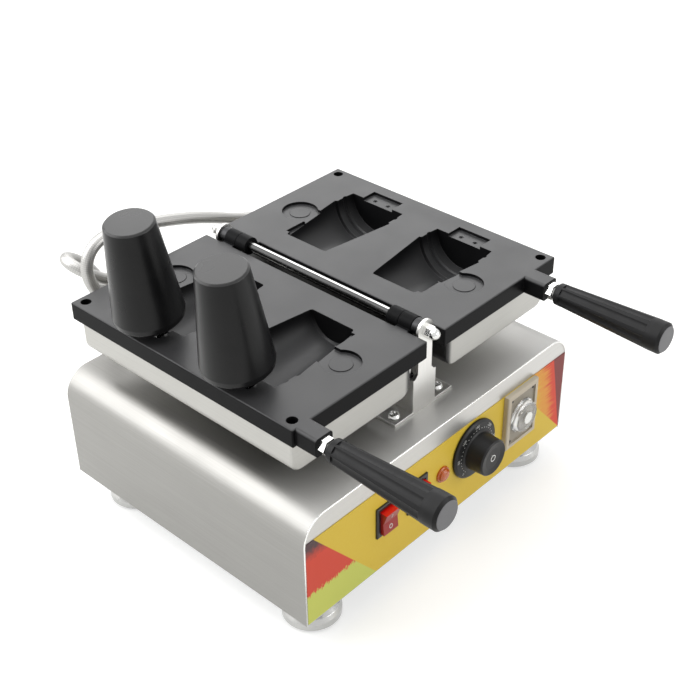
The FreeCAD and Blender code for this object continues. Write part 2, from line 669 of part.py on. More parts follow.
def knuckle(tag, sign, start, end):
    """A hinge knuckle on the shaft, with the web that ties it to the plate's inner edge."""
    span = f"(({end}) - ({start}))"
    barrel = cylinder(f"{tag}_barrel", "knuckle_radius", span, ("0", start, AXIS), TURN_BACK)
    low = "0" if sign > 0 else "-plate_inner - plate_edge_radius * 2"
    web = box(
        f"{tag}_web", ("plate_inner + plate_edge_radius * 2", span, "knuckle_radius - parting_gap / 2"),
        (low, start, f"{AXIS} - knuckle_radius"),
    )
    return [barrel, web]


def mould_plate(side, sign, knuckles, handle):
    """A cast plate: slab, handle boss, two hinge knuckles, and two cavities with their backs."""
    low = "plate_inner" if sign > 0 else "-plate_outer"
    blank = box(
        f"plate_{side}_blank", ("plate_outer - plate_inner", "plate_length", "plate_thickness"),
        (low, "-plate_length / 2", PLATE_UNDER),
    )
    doc.recompute()
    soft = rounded(f"plate_{side}_soft", blank, size("plate_edge_radius"), lambda e: True)
    boss = box(
        f"boss_{side}", ("boss_width", "boss_length + boss_root", "plate_thickness"),
        (f"{sign} * {handle} - boss_width / 2", "-plate_length / 2 - boss_length", PLATE_UNDER),
    )
    doc.recompute()
    soft_boss = rounded(f"boss_{side}_soft", boss, size("boss_round"), lambda e: along(e, 1))
    parts = [soft, soft_boss]
    bore = cylinder(
        f"hinge_bore_{side}", "shaft_radius + shaft_fit", "plate_length",
        ("0", "-plate_length / 2", AXIS), TURN_BACK,
    )
    tools = [bore]
    for i, (start, end) in enumerate(knuckles):
        parts += knuckle(f"knuckle_{side}_{i}", sign, start, end)
    for row in (-1, 1):
        tag = f"cavity_{side}_{'front' if row < 0 else 'rear'}"
        parts.append(cavity_shell(tag, sign, row))
        tools += cavity_tools(tag, sign, row)
        tools.append(
            cylinder(
                f"locating_{side}_{row}", "locating_hole_radius", "2 * locating_hole_depth",
                (
                    f"{sign} * (plate_outer - locating_hole_inset)",
                    f"{row} * (plate_length / 2 - locating_hole_inset)",
                    f"{PLATE_TOP} - locating_hole_depth",
                ),
            )
        )
    tools.append(
        cylinder(
            f"stud_hole_{side}", "stud_radius + stud_fit", "boss_length",
            (f"{sign} * {handle}", "-plate_length / 2", f"{PLATE_UNDER} + plate_thickness / 2"), TURN_X,
        )
    )
    return parts, tools


FRONT_OUTER = ("-outer_knuckle_end", "-inner_knuckle_end - knuckle_gap")
FRONT_INNER = ("-inner_knuckle_end", "-inner_knuckle_start")
REAR_OUTER = ("inner_knuckle_end + knuckle_gap", "outer_knuckle_end")
REAR_INNER = ("inner_knuckle_start", "inner_knuckle_end")
SIDES = (
    ("left", -1, (FRONT_OUTER, REAR_OUTER), "left_handle_distance"),
    ("right", 1, (FRONT_INNER, REAR_INNER), "right_handle_distance"),
)
BLOCK_SCREW_X = "((pocket_start + pocket_end) / 2 - block_screw_shift)"
for side, sign, knuckles, handle in SIDES:
    parts, tools = mould_plate(side, sign, knuckles, handle)
    for row in (-1, 1):
        for turn in (-1, 1):
            tools.append(
                cylinder(
                    f"block_hole_{side}_{row}_{turn}", "block_screw_radius", "2 * pocket_depth",
                    (
                        f"{sign} * {BLOCK_SCREW_X}",
                        f"{row} * cavity_offset + {turn} * block_screw_spacing / 2",
                        f"{PLATE_TOP} - {POCKET_DEPTHS[sign]} - block_screw_depth",
                    ),
                )
            )
    node(f"mould_plate_{side}", cut(f"plate_{side}", fuse(f"plate_{side}_solid", parts), tools))


# bright pans that close the plates' undersides
def pan_block(tag, sign, wall, radius_loss):
    """The pan's outer or inner block: a folded trough with round lower edges and nearly sharp ends."""
    low = f"pan_inner + {wall}" if sign > 0 else f"-pan_outer + {wall}"
    blank = box(
        f"{tag}_blank",
        (f"pan_outer - pan_inner - 2 * {wall}", f"pan_length - 2 * {wall}", f"pan_depth - {wall}"),
        (low, f"{wall} - pan_length / 2", f"{PAN_FLOOR} + {wall}"),
    )
    doc.recompute()
    floor = blank.Shape.BoundBox.ZMin
    trough = rounded(
        f"{tag}_edges", blank, size("pan_edge_radius") - radius_loss,
        lambda e: along(e, 1) and e.CenterOfMass.z < floor + 1,
    )
    rim = trough.Shape.BoundBox.ZMax
    return rounded(
        f"{tag}_corners", trough, size("pan_corner_radius") - radius_loss,
        lambda e: e.BoundBox.YLength < 0.01 and e.CenterOfMass.z < rim - 1,
    )


GLAND_Z = f"({PLATE_UNDER} - pan_gland_drop)"
GLANDS = {"left": "left_gland_x", "right": "right_gland_x"}
for side, sign, knuckles, handle in SIDES:
    outer = pan_block(f"pan_{side}_outer", sign, "0", 0)
    inner = pan_block(f"pan_{side}_inner", sign, "pan_wall", size("pan_wall"))
    entry = cylinder(
        f"pan_{side}_entry", "gland_radius - gland_wall", "4 * pan_wall",
        (GLANDS[side], "pan_length / 2 + 2 * pan_wall", GLAND_Z), TURN_X,
    )
    node(f"pan_{side}", cut(f"pan_{side}_shell", outer, [inner, entry]))


# sheathed heaters: one bent rod round both cavities of a plate, just under the casting
def heater(side, sign):
    """A rod with round bends, open at the back where its two cold ends stand apart."""
    near = sign * size("cavity_start - cavity_wall - heater_radius - heater_clear")
    far = sign * size("cavity_end + cavity_wall + heater_radius + heater_room")
    reach = size("pan_length") / 2 - size("heater_inset")
    bend = size("heater_bend")
    tail = size("heater_tail")
    underside = size("foot_height") + size("plate_level") - size("plate_thickness")
    level = underside - size("heater_radius") - size("heater_gap")
    middle = (near + far) / 2
    route = [
        (middle - sign * tail, reach), (near, reach), (near, -reach), (far, -reach), (far, reach),
        (middle + sign * tail, reach),
    ]
    points = [Vector(x, y, level) for x, y in route]
    path = bent_path(points, [bend] * (len(points) - 2))
    return rod(path, size("heater_radius"))


def bent_path(points, radii):
    """Straight runs joined by tangent arcs of the given radii."""
    edges = []
    start = points[0]
    for before, corner, after, radius in zip(points, points[1:], points[2:], radii):
        into = (corner - before).normalize()
        out = (after - corner).normalize()
        half = into.getAngle(out) / 2
        back = radius * math.tan(half)
        first = corner - into * back
        last = corner + out * back
        inward = (out - into).normalize()
        middle = corner + inward * (radius / math.cos(half) - radius)
        edges.append(Part.LineSegment(start, first).toShape())
        edges.append(Part.Arc(first, middle, last).toShape())
        start = last
    edges.append(Part.LineSegment(start, points[-1]).toShape())
    return Part.Wire(edges)


def rod(path, radius):
    """A round bar swept along a path, checked against its section times its length."""
    first = path.Edges[0]
    point = first.valueAt(first.FirstParameter)
    direction = first.tangentAt(first.FirstParameter)
    section = Part.Wire([Part.makeCircle(radius, point, direction)])
    solid = path.makePipeShell([section], True, False)
    expected = math.pi * radius ** 2 * path.Length
    if abs(solid.Volume - expected) > 0.02 * expected:
        raise RuntimeError("a swept rod has the wrong volume")
    return solid


for side, sign, knuckles, handle in SIDES:
    element = doc.addObject("Part::Feature", f"heater_{side}_rod")
    element.Shape = heater(side, sign)
    node(f"heater_{side}", element)

# handles: a stud in the plate's boss, a nut, and a fluted grip
STUD_Z = f"({PLATE_UNDER} + plate_thickness / 2)"
BOSS_FACE = "(-plate_length / 2 - boss_length)"
GRIP_START = f"({BOSS_FACE} - handle_nut_height - grip_gap)"
for side, sign, knuckles, handle in SIDES:
    x = f"{sign} * {handle}"
    stud_back = f"({BOSS_FACE} + stud_thread)"
    stud_front = f"({GRIP_START} - grip_bore_depth + stud_gap)"
    node(
        f"handle_stud_{side}",
        cylinder(
            f"stud_{side}", "stud_radius", f"{stud_back} - {stud_front}", (x, stud_back, STUD_Z), TURN_X
        ),
    )
    seat = (x, BOSS_FACE, STUD_Z)
    nut_blank = prism(f"handle_nut_{side}_blank", "handle_nut_flats", "handle_nut_height", seat, TURN_X)
    nut_bore = cylinder(
        f"handle_nut_{side}_bore", "stud_radius + stud_fit", "2 * handle_nut_height", seat, TURN_X
    )
    doc.recompute()
    node(f"handle_nut_{side}", cut(f"handle_nut_{side}_cut", nut_blank, [nut_bore]))
    grip_turned = lathe(
        f"grip_{side}_turned",
        [
            ("stud_radius + stud_fit", "0"), ("grip_start_radius - grip_start_round", "0"),
            ("grip_start_radius", "grip_start_round"), ("grip_end_radius", "grip_length * grip_taper_share"),
            ("grip_end_radius", "grip_length - grip_end_round"),
            ("grip_end_radius - grip_end_round", "grip_length"),
            ("0", "grip_length"), ("0", "grip_bore_depth"),
            ("stud_radius + stud_fit", "grip_bore_depth"),
        ],
        (x, GRIP_START, STUD_Z), TURN_X,
    )
    growth = size("grip_end_radius") - size("grip_start_radius")
    taper = math.degrees(math.atan(growth / (size("grip_taper_share") * size("grip_length"))))
    flutes = []
    flute_count = int(size("flute_count"))
    for i in range(flute_count):
        angle = 2 * math.pi * i / flute_count
        flute = doc.addObject("Part::Cylinder", f"flute_{side}_{i}")
        bind(flute, "Radius", "flute_radius")
        bind(flute, "Height", "grip_length * flute_share")
        lean = Rotation(Vector(math.sin(angle), 0, math.cos(angle)), taper)
        flute.Placement = FreeCAD.Placement(Vector(), lean.multiply(TURN_X))
        offset = "(grip_start_radius + flute_radius - flute_depth)"
        bind(flute, "Placement.Base.x", f"{x} + {math.cos(angle):.6f} * {offset}")
        bind(flute, "Placement.Base.y", f"{GRIP_START} - flute_start")
        bind(flute, "Placement.Base.z", f"{STUD_Z} - {math.sin(angle):.6f} * {offset}")
        flutes.append(flute)
    doc.recompute()
    node(f"grip_{side}", cut(f"grip_{side}_fluted", grip_turned, flutes))

# cores: hollow-mould formers on hinge pins at the left plate's outer edge
PIN_X = "(-core_pin_distance)"
node_parts = {"blocks": [], "pins": []}
for row, end in ((-1, "front"), (1, "rear")):
    y = f"({row} * cavity_offset)"
    cone = lathe(
        f"core_{end}_cone",
        [
            ("0", "core_standoff"), ("core_base_radius - core_base_round", "core_standoff"),
            ("core_base_radius - core_base_round * 0.42", "core_standoff + core_base_round * 0.18"),
            ("core_base_radius - core_base_round * 0.1", "core_standoff + core_base_round * 0.58"),
            ("core_base_radius", "core_standoff + core_base_round * 1.3"),
            ("core_tip_radius", "core_standoff + core_length - core_tip_round"),
            ("core_tip_radius - core_tip_round", "core_standoff + core_length"),
            ("0", "core_standoff + core_length"),
        ],
    )
    lug_end = ("0", "-core_lug_width / 2", "0")
    lug_bar = cylinder(f"core_{end}_lug_bar", "core_lug_radius", "core_lug_width", lug_end, TURN_BACK)
    lug_web = box(
        f"core_{end}_lug_web", ("2 * core_lug_radius", "core_lug_width", "core_standoff + lug_lap"),
        ("-core_lug_radius", "-core_lug_width / 2", "0"),
    )
    lug_bore = cylinder(
        f"core_{end}_lug_bore", "core_pin_radius + core_fit", "2 * core_lug_width",
        ("0", "-core_lug_width", "0"), TURN_BACK,
    )
    upright = cut(f"core_{end}_upright", fuse(f"core_{end}_solid", [cone, lug_bar, lug_web]), [lug_bore])
    leaning = doc.addObject("Part::Compound", f"core_{end}_leaning")
    leaning.Links = [upright]
    place(leaning, PIN_X, y, AXIS, Rotation(Vector(0, 1, 0), -size("core_lean")))
    node(f"core_{end}", leaning)

    low = f"({PLATE_TOP} - pocket_depth)"
    across = "(pocket_width - 2 * block_gap)"
    base = box(
        f"block_{end}_base", ("pocket_end - pocket_start - 2 * block_gap", across, "block_floor"),
        ("-pocket_end + block_gap", f"{y} - {across} / 2", low),
    )
    pieces = [base]
    holes = []
    for turn in (-1, 1):
        inner = "(core_lug_width / 2 + block_side_gap)"
        ear_y = f"{y} + {inner}" if turn > 0 else f"{y} - {inner} - block_ear"
        pieces.append(
            box(
                f"block_{end}_post_{turn}", ("2 * block_ear_radius", "block_ear", f"{AXIS} - {low}"),
                (f"{PIN_X} - block_ear_radius", ear_y, low),
            )
        )
        pieces.append(
            cylinder(
                f"block_{end}_eye_{turn}", "block_ear_radius", "block_ear", (PIN_X, ear_y, AXIS), TURN_BACK
            )
        )
        holes.append(
            cylinder(
                f"block_{end}_screw_hole_{turn}", "block_screw_radius", "4 * block_floor",
                (f"-{BLOCK_SCREW_X}", f"{y} + {turn} * block_screw_spacing / 2", f"{low} - block_floor"),
            )
        )
    holes.append(
        cylinder(
            f"block_{end}_pin_hole", "core_pin_radius + core_fit", "2 * pocket_width",
            (PIN_X, f"{y} - pocket_width", AXIS), TURN_BACK,
        )
    )
    node_parts["blocks"].append(cut(f"block_{end}", fuse(f"block_{end}_solid", pieces), holes))
    pin_half = "(core_lug_width / 2 + block_side_gap + block_ear)"
    node_parts["pins"].append(
        cylinder(
            f"pin_{end}", "core_pin_radius", f"2 * {pin_half}", (PIN_X, f"{y} - {pin_half}", AXIS), TURN_BACK
        )
    )
doc.recompute()
for name, key in (("core_hinge_blocks", "blocks"), ("core_hinge_pins", "pins")):
    both = doc.addObject("Part::Compound", name + "_pair")
    both.Links = node_parts[key]
    node(name, both)

# low cap screws that hold the hinge blocks, and socket plugs that fill the same holes in the right plate
screw_rows = [(row, turn) for row in (-1, 1) for turn in (-1, 1)]
block_screw = lathe(
    "block_screw",
    [
        ("0", "-block_screw_depth"), ("block_screw_radius", "-block_screw_depth"),
        ("block_screw_radius", "0"), ("block_screw_head", "0"),
        ("block_screw_head", "block_screw_cap - block_screw_edge"),
        ("block_screw_head - block_screw_edge", "block_screw_cap"), ("0", "block_screw_cap"),
    ],
)
plug_bar = cylinder(
    "plug_bar", "block_screw_radius", "block_screw_depth - plug_recess", ("0", "0", "-block_screw_depth")
)
plug_socket = prism(
    "plug_socket", "plug_socket_flats", "2 * plug_socket_depth",
    ("0", "0", "-plug_recess - plug_socket_depth"),
)
doc.recompute()
plug = cut("plug", plug_bar, [plug_socket])
screw_x = size(BLOCK_SCREW_X)


def pocket_places(sign, level):
    """The four screw places in the pockets of one plate."""
    return [
        (sign * screw_x, row * size("cavity_offset") + turn * size("block_screw_spacing") / 2, level)
        for row, turn in screw_rows
    ]


block_level = size(f"{PLATE_TOP} - pocket_depth + block_floor")
rest_level = size(f"{PLATE_TOP} - rest_depth")
node("core_block_screws", group("block_screw_group", block_screw, pocket_places(-1, block_level)))
node("pocket_screws", group("pocket_screw_group", plug, pocket_places(1, rest_level)))

# rocker switches
for name, x in (("power", "switch_first"), ("alarm", "switch_second")):
    level = "(foot_height + control_height)"
    bezel = box(
        f"{name}_bezel", ("bezel_width", "bezel_proud", "bezel_height"),
        (f"{x} - bezel_width / 2", f"{OVERLAY_FACE} - bezel_proud", f"{level} - bezel_height / 2"),
    )
    doc.recompute()
    front_face = bezel.Shape.BoundBox.YMin
    soft_bezel = rounded(
        f"{name}_bezel_soft", bezel, size("bezel_round"), lambda e: abs(e.BoundBox.YMax - front_face) < 0.01
    )
    case = box(
        f"{name}_case", ("switch_body_width", "switch_body_depth", "switch_body_height"),
        (f"{x} - switch_body_width / 2", OVERLAY_FACE, f"{level} - switch_body_height / 2"),
    )
    wide = "(rocker_width + 2 * rocker_side_gap)"
    tall = "(rocker_height + 2 * rocker_end_gap)"
    window = box(
        f"{name}_window", (wide, "bezel_proud + rocker_pivot_depth + rocker_back + rocker_room", tall),
        (f"{x} - {wide} / 2", f"{OVERLAY_FACE} - bezel_proud", f"{level} - {tall} / 2"),
    )
    solid = fuse(f"{name}_switch_solid", [soft_bezel, case])
    node(f"{name}_switch_body", cut(f"{name}_switch_cut", solid, [window]))
    half = "(rocker_height / 2)"
    rocker = slab(
        f"{name}_rocker_bar",
        [
            ("-rocker_rise", f"-{half}"), ("rocker_back", f"rocker_draft - {half}"),
            ("rocker_back", f"{half} - rocker_draft"), ("-rocker_rise", half),
            ("-rocker_rise * rocker_lip_share", f"{half} - rocker_lip"), ("-rocker_dip", "0"),
            ("-rocker_rise * rocker_lip_share", f"rocker_lip - {half}"),
        ],
        "rocker_width",
    )
    tilted = doc.addObject("Part::Compound", f"{name}_rocker_tilted")
    tilted.Links = [rocker]
    tilt = Rotation(Vector(1, 0, 0), size("rocker_tilt"))
    place(
        tilted, f"{x} - rocker_width / 2", f"{OVERLAY_FACE} - bezel_proud + rocker_pivot_depth", level,
        tilt.multiply(TURN_SECTION),
    )
    node(f"{name}_rocker", tilted)

# indicator lamp
node(
    "indicator_lamp",
    lathe(
        "lamp_turned",
        [
            ("0", "-lamp_stem_depth"), ("lamp_stem_radius", "-lamp_stem_depth"), ("lamp_stem_radius", "0"),
            ("lamp_radius", "0"), ("lamp_radius", "lamp_rim"),
            ("lamp_radius - lamp_rim_edge", "lamp_rim_top"),
            ("lamp_radius - lamp_lens_inset", "lamp_rim_top"), ("lamp_radius * 0.78", "lamp_dome * 0.7"),
            ("lamp_radius * 0.55", "lamp_dome * 0.93"), ("lamp_radius * 0.25", "lamp_dome"),
            ("0", "lamp_dome"),
        ],
        ("lamp_x", OVERLAY_FACE, "foot_height + control_height"), TURN_X,
    ),
)

# thermostat behind the panel, with the numbered dial on its shaft
DIAL_Z = "(foot_height + dial_height)"
INNER_FACE = f"({FRONT} + sheet)"
thermostat_case = box(
    "thermostat_case", ("thermostat_width", "thermostat_depth", "thermostat_height"),
    ("dial_x - thermostat_width / 2", INNER_FACE, f"{DIAL_Z} - thermostat_height / 2"),
)
thermostat_neck = cylinder(
    "thermostat_neck", "thermostat_neck_radius", "sheet + overlay_thickness",
    ("dial_x", INNER_FACE, DIAL_Z), TURN_X,
)
shaft_back = f"({INNER_FACE} + dial_shaft_reach)"
thermostat_bore = cylinder(
    "thermostat_bore", "dial_shaft_radius + dial_shaft_fit", "dial_shaft_room",
    ("dial_x", shaft_back, DIAL_Z), TURN_X,
)
node(
    "thermostat_body",
    cut("thermostat_cut", fuse("thermostat_solid", [thermostat_case, thermostat_neck]), [thermostat_bore]),
)
dial_base = f"({OVERLAY_FACE} - dial_gap)"
node(
    "thermostat_shaft",
    cylinder(
        "thermostat_shaft_bar", "dial_shaft_radius",
        f"{shaft_back} - {dial_base} + dial_bore_depth - 2 * dial_gap",
        ("dial_x", f"{shaft_back} - dial_gap", DIAL_Z), TURN_X,
    ),
)
KNOB_FACE = "(knob_height + skirt_thickness)"
dial_turned = lathe(
    "dial_turned",
    [
        ("dial_shaft_radius", "0"), ("skirt_radius", "0"), ("skirt_radius", "skirt_edge"),
        ("skirt_radius - skirt_bevel", "skirt_thickness - skirt_fall"),
        ("knob_radius + knob_root", "skirt_thickness"),
        ("knob_radius", "skirt_thickness + knob_round"), ("knob_top_radius", f"{KNOB_FACE} - knob_round"),
        ("knob_top_radius - knob_round", KNOB_FACE), ("knob_top_radius * 0.6", f"{KNOB_FACE} - knob_dish"),
        ("0", f"{KNOB_FACE} - knob_dish"), ("0", "dial_bore_depth"), ("dial_shaft_radius", "dial_bore_depth"),
    ],
    ("dial_x", dial_base, DIAL_Z), TURN_X,
)
node("temperature_dial", dial_turned)

# timer relay: case with a raised frame and window, and its clear knob
TIMER_Z = "(foot_height + timer_height)"
frame_blank = box(
    "timer_frame_blank", ("timer_width", "timer_proud", "timer_tall"),
    ("timer_x - timer_width / 2", f"{OVERLAY_FACE} - timer_proud", f"{TIMER_Z} - timer_tall / 2"),
)
doc.recompute()
timer_face = frame_blank.Shape.BoundBox.YMin
frame_soft = rounded(
    "timer_frame_soft", frame_blank, size("timer_frame"), lambda e: abs(e.BoundBox.YMax - timer_face) < 0.01
)
timer_window = box(
    "timer_window", ("timer_window_width", "2 * timer_window_depth", "timer_window_tall"),
    (
        "timer_x - timer_window_width / 2", f"{OVERLAY_FACE} - timer_proud - timer_window_depth",
        f"{TIMER_Z} - timer_window_tall / 2",
    ),
)
timer_body = box(
    "timer_body", ("timer_body_width", "timer_body_depth", "timer_body_tall"),
    ("timer_x - timer_body_width / 2", OVERLAY_FACE, f"{TIMER_Z} - timer_body_tall / 2"),
)
TIMER_WINDOW_FACE = f"({OVERLAY_FACE} - timer_proud + timer_window_depth)"
timer_bore = cylinder(
    "timer_bore", "timer_hub_radius + shaft_fit", "2 * timer_hub_depth",
    ("timer_x", f"{TIMER_WINDOW_FACE} + timer_hub_depth", TIMER_Z), TURN_X,
)
node(
    "timer_case",
    cut("timer_cut", fuse("timer_solid", [frame_soft, timer_body]), [timer_window, timer_bore]),
)
node(
    "timer_knob",
    lathe(
        "timer_knob_turned",
        [
            ("0", "timer_gap - timer_hub_depth"), ("timer_hub_radius", "timer_gap - timer_hub_depth"),
            ("timer_hub_radius", "timer_gap"), ("timer_knob_foot", "timer_gap"),
            ("timer_knob_foot", "timer_gap + timer_foot_edge"),
            ("timer_knob_radius", "timer_gap + 2 * timer_foot_edge"),
            ("timer_knob_radius - timer_knob_draft", "timer_knob_height - timer_knob_round"),
            ("timer_knob_radius - timer_knob_draft - timer_knob_round", "timer_knob_height"),
            ("0", "timer_knob_height"),
        ],
        ("timer_x", TIMER_WINDOW_FACE, TIMER_Z), TURN_X,
    ),
)

# terminal block on the floor of the base
terminal_blank = box(
    "terminal_blank", ("block_length", "block_width", "block_height"),
    ("-block_length / 2", f"{BACK} - sheet - 2 * block_width", "foot_height + sheet"),
)
terminal_slots = [
    box(
        f"terminal_slot_{i}", ("block_length / 10", "block_width / 2", "block_height"),
        (
            f"-block_length / 2 + {i} * block_length / 5 + block_length / 20",
            f"{BACK} - sheet - 2 * block_width", "foot_height + sheet + block_height / 2",
        ),
    )
    for i in range(5)
]
doc.recompute()
node("terminal_block", cut("terminal_cut", terminal_blank, terminal_slots))


# cable glands and the two braided conduits between the base and the pans
def gland(label, x, wall, z):
    """A turned gland on a back wall, with a flange, a body that narrows to the conduit, and a tail inside."""
    return lathe(
        label,
        [
            ("0", "-gland_neck"), ("gland_radius - gland_wall", "-gland_neck"),
            ("gland_radius - gland_wall", "0"), ("gland_flange_radius", "0"),
            ("gland_flange_radius", "gland_neck"),
            ("gland_radius", "gland_neck + gland_step"), ("gland_radius", "gland_length - gland_taper"),
            ("conduit_radius + gland_step", "gland_length"), ("0", "gland_length"),
        ],
        (x, wall, z), TURN_BACK,
    )


PAN_BACK = "(pan_length / 2)"
for side, x in GLANDS.items():
    node(f"pan_gland_{side}", gland(f"pan_gland_{side}_turned", x, PAN_BACK, GLAND_Z))
entry_glands = [gland(f"base_gland_{side}", f"{side}_entry_x", BACK, ENTRY_Z) for side in GLANDS]
base_glands = doc.addObject("Part::Compound", "base_gland_pair")
base_glands.Links = entry_glands
node("base_glands", base_glands)
node("mains_gland", gland("mains_gland_turned", "mains_x", BACK, MAINS_Z))

pan_exit = size("pan_length") / 2 + size("gland_length") + size("conduit_gap")
base_exit = size("base_depth") / 2 + size("gland_length") + size("conduit_gap")
gland_z = size("foot_height") + size("plate_level") - size("plate_thickness") - size("pan_gland_drop")
entry_z = size("foot_height") + size("entry_height")
ENTRY_TURN = math.radians(30)   # each of the three corners that bring a conduit round into its gland
bend_side = size("entry_bend") * math.tan(ENTRY_TURN / 2)
bend_step = 2 * bend_side


def entry_bend(x):
    """The last points of a route that comes down behind the base and turns forward into its gland."""
    points = [(x, base_exit, entry_z), (x, base_exit + bend_side, entry_z)]
    for turn in (ENTRY_TURN, 2 * ENTRY_TURN):
        y, z = points[-1][1:]
        points.append((x, y + bend_step * math.cos(turn), z + bend_step * math.sin(turn)))
    return points[::-1]


ROUTES = {
    "conduit_right": [
        (size("right_gland_x"), pan_exit, gland_z), (size("right_gland_x"), 147, gland_z),
        (81, 155, 178.8), (70, 159.5, 180), (53, 160.5, 185.5), (30, 160, 196.5), (1, 159, 209),
        (-33, 157, 221), (-68, 155.5, 230.5), (-97, 155, 235.3), (-113.5, 155, 231), (-122.5, 155, 219.5),
        (-123.5, 155, 204), (-117.5, 156, 188.5), (-108, 158, 172.5), (-96, 161, 158),
        (-80, 165.5, 146.5), (-64, 174, 137.5), (-50, 185.5, 130.5), (-38, 195, 122.5),
        *entry_bend(size("right_entry_x")),
    ],
    "conduit_left": [
        (size("left_gland_x"), pan_exit, gland_z), (size("left_gland_x"), 148, gland_z),
        (-67, 158, 177.5), (-78, 165.5, 177), (-92, 169, 181), (-103, 170.5, 188), (-110, 171.3, 194.5),
        (-116.7, 174.1, 200.1), (-120.4, 181.6, 204.1), (-119.4, 190.6, 205.1), (-114.3, 197.8, 202.5),
        (-107, 200.4, 197.5), (-97, 201.5, 189), (-87, 201.5, 176), (-79, 200.5, 160),
        (-73, 198.8, 142), (-70.5, 196.5, 125.5),
        *entry_bend(size("left_entry_x")),
    ],
}
ARC_SHARE = 0.45
for name, route in ROUTES.items():
    points = [Vector(*p) for p in route]
    radii = []
    for before, corner, after in zip(points, points[1:], points[2:]):
        half = (corner - before).getAngle(after - corner) / 2
        shorter = min((corner - before).Length, (after - corner).Length)
        radii.append(ARC_SHARE * shorter / math.tan(half))
    path = bent_path(points, radii)
    print(name, "length", round(path.Length, 1), "radii", [round(r) for r in radii])
    tube = doc.addObject("Part::Feature", name + "_tube")
    tube.Shape = rod(path, size("conduit_radius"))
    node(name, tube)

doc.removeObject(probe.Name)
doc.recompute()
broken = [o.Name for o in doc.Objects if "Invalid" in o.State or "Error" in o.State]
if broken:
    raise RuntimeError(f"failed objects: {broken}")
for name, thing in NODES.items():
    if thing.Shape.isNull() or not thing.Shape.isValid() or not thing.Shape.Solids:
        raise RuntimeError(f"{name} has no valid solid")
os.makedirs("parts", exist_ok=True)
for name, thing in NODES.items():
    thing.Shape.exportStep(f"parts/{name}.step")
print(len(NODES), "sub-parts written")
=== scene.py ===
# %% [markdown]
# # Dressing a cup waffle maker
# The machine is a brushed steel box with two dark cast plates on one hinge shaft. The solids come from the CAD
# model and keep their place; this file gives them their finishes, adds the small printed and moulded details that
# a solid model leaves out, and lights the machine as on a catalogue page.

# %% Load the frame
import math

import bpy
import numpy as np
from mathutils import Matrix, Vector


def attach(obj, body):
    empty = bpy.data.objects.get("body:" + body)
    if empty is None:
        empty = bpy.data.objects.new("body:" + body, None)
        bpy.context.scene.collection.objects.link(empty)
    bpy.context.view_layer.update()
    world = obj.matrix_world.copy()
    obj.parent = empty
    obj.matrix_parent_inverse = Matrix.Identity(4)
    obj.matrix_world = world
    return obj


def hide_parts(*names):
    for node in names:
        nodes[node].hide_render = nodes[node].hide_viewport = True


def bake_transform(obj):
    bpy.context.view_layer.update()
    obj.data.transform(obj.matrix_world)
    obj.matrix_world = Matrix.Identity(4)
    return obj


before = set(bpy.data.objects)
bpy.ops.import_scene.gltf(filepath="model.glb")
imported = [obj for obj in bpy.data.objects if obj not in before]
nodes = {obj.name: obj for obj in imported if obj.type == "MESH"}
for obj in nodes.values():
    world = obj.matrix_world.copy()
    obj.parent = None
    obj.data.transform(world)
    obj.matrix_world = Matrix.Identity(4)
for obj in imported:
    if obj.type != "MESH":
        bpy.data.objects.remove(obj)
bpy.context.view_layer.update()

# %% [markdown]
# ## The camera
# The picture is square. The camera's place comes from fitting measured corners of the base and the plates, so the
# model falls on the same pixels as the real machine. It looks down by about 35 degrees from the front left.

# %% Camera
AZIMUTH, ELEVATION, ROLL = np.radians([-47.14, 34.81, -0.74])
TARGET = np.array([0.0378, 0.0, 0.1159])
DISTANCE = 1.1544
FOCAL_PIXELS, PICTURE_PIXELS, SENSOR = 1279.5, 700, 36.0

back = np.array([
    math.sin(AZIMUTH) * math.cos(ELEVATION), -math.cos(AZIMUTH) * math.cos(ELEVATION), math.sin(ELEVATION),
])
right = np.cross(-back, [0, 0, 1])
right /= np.linalg.norm(right)
up = np.cross(right, -back)
turned_right = math.cos(ROLL) * right + math.sin(ROLL) * up
turned_up = np.cross(back, turned_right)
pose = np.eye(4)
pose[:3, 0], pose[:3, 1], pose[:3, 2], pose[:3, 3] = turned_right, turned_up, back, TARGET + back * DISTANCE

camera_data = bpy.data.cameras.new("camera")
camera_data.sensor_width = SENSOR
camera_data.lens = FOCAL_PIXELS / PICTURE_PIXELS * SENSOR
camera_data.clip_start, camera_data.clip_end = 0.01, 50
camera = bpy.data.objects.new("camera", camera_data)
camera.matrix_world = Matrix(pose.tolist())
bpy.context.collection.objects.link(camera)
bpy.context.scene.camera = camera
bpy.context.scene.view_settings.view_transform = "Standard"
print("lens mm:", round(camera_data.lens, 1))

# %% [markdown]
# ## Small helpers
# Colours are written as they look on a screen and turned to the linear values that the renderer works in. One
# helper adds a shader node, sets it and links it. Another puts computed points into a mesh that rides on a body.


# %% Helpers for colours, shader nodes and meshes
def linear(code):
    """A hex colour in linear RGBA: c / 12.92 near black, ((c + 0.055) / 1.055) ** 2.4 elsewhere."""
    c = np.array([int(code[i:i + 2], 16) for i in (1, 3, 5)]) / 255
    c = np.where(c <= 0.04045, c / 12.92, ((c + 0.055) / 1.055) ** 2.4)
    return (*c.tolist(), 1.0)


def add(material, kind, inputs=None, **settings):
    """A shader node with its settings, each input set to a value or linked to a socket."""
    node = material.node_tree.nodes.new("ShaderNode" + kind)
    for name, value in settings.items():
        setattr(node, name, value)
    for name, value in (inputs or {}).items():
        if isinstance(value, bpy.types.NodeSocket):
            material.node_tree.links.new(value, node.inputs[name])
        else:
            node.inputs[name].default_value = value
    return node


def new_finish(name, **sockets):
    """A material with one principled shader; underscores in the socket names stand for spaces."""
    material = bpy.data.materials.new(name)
    material.use_nodes = True
    material.node_tree.nodes.clear()
    shader = add(material, "BsdfPrincipled", {key.replace("_", " "): value for key, value in sockets.items()})
    add(material, "OutputMaterial", {"Surface": shader.outputs["BSDF"]})
    return material, shader


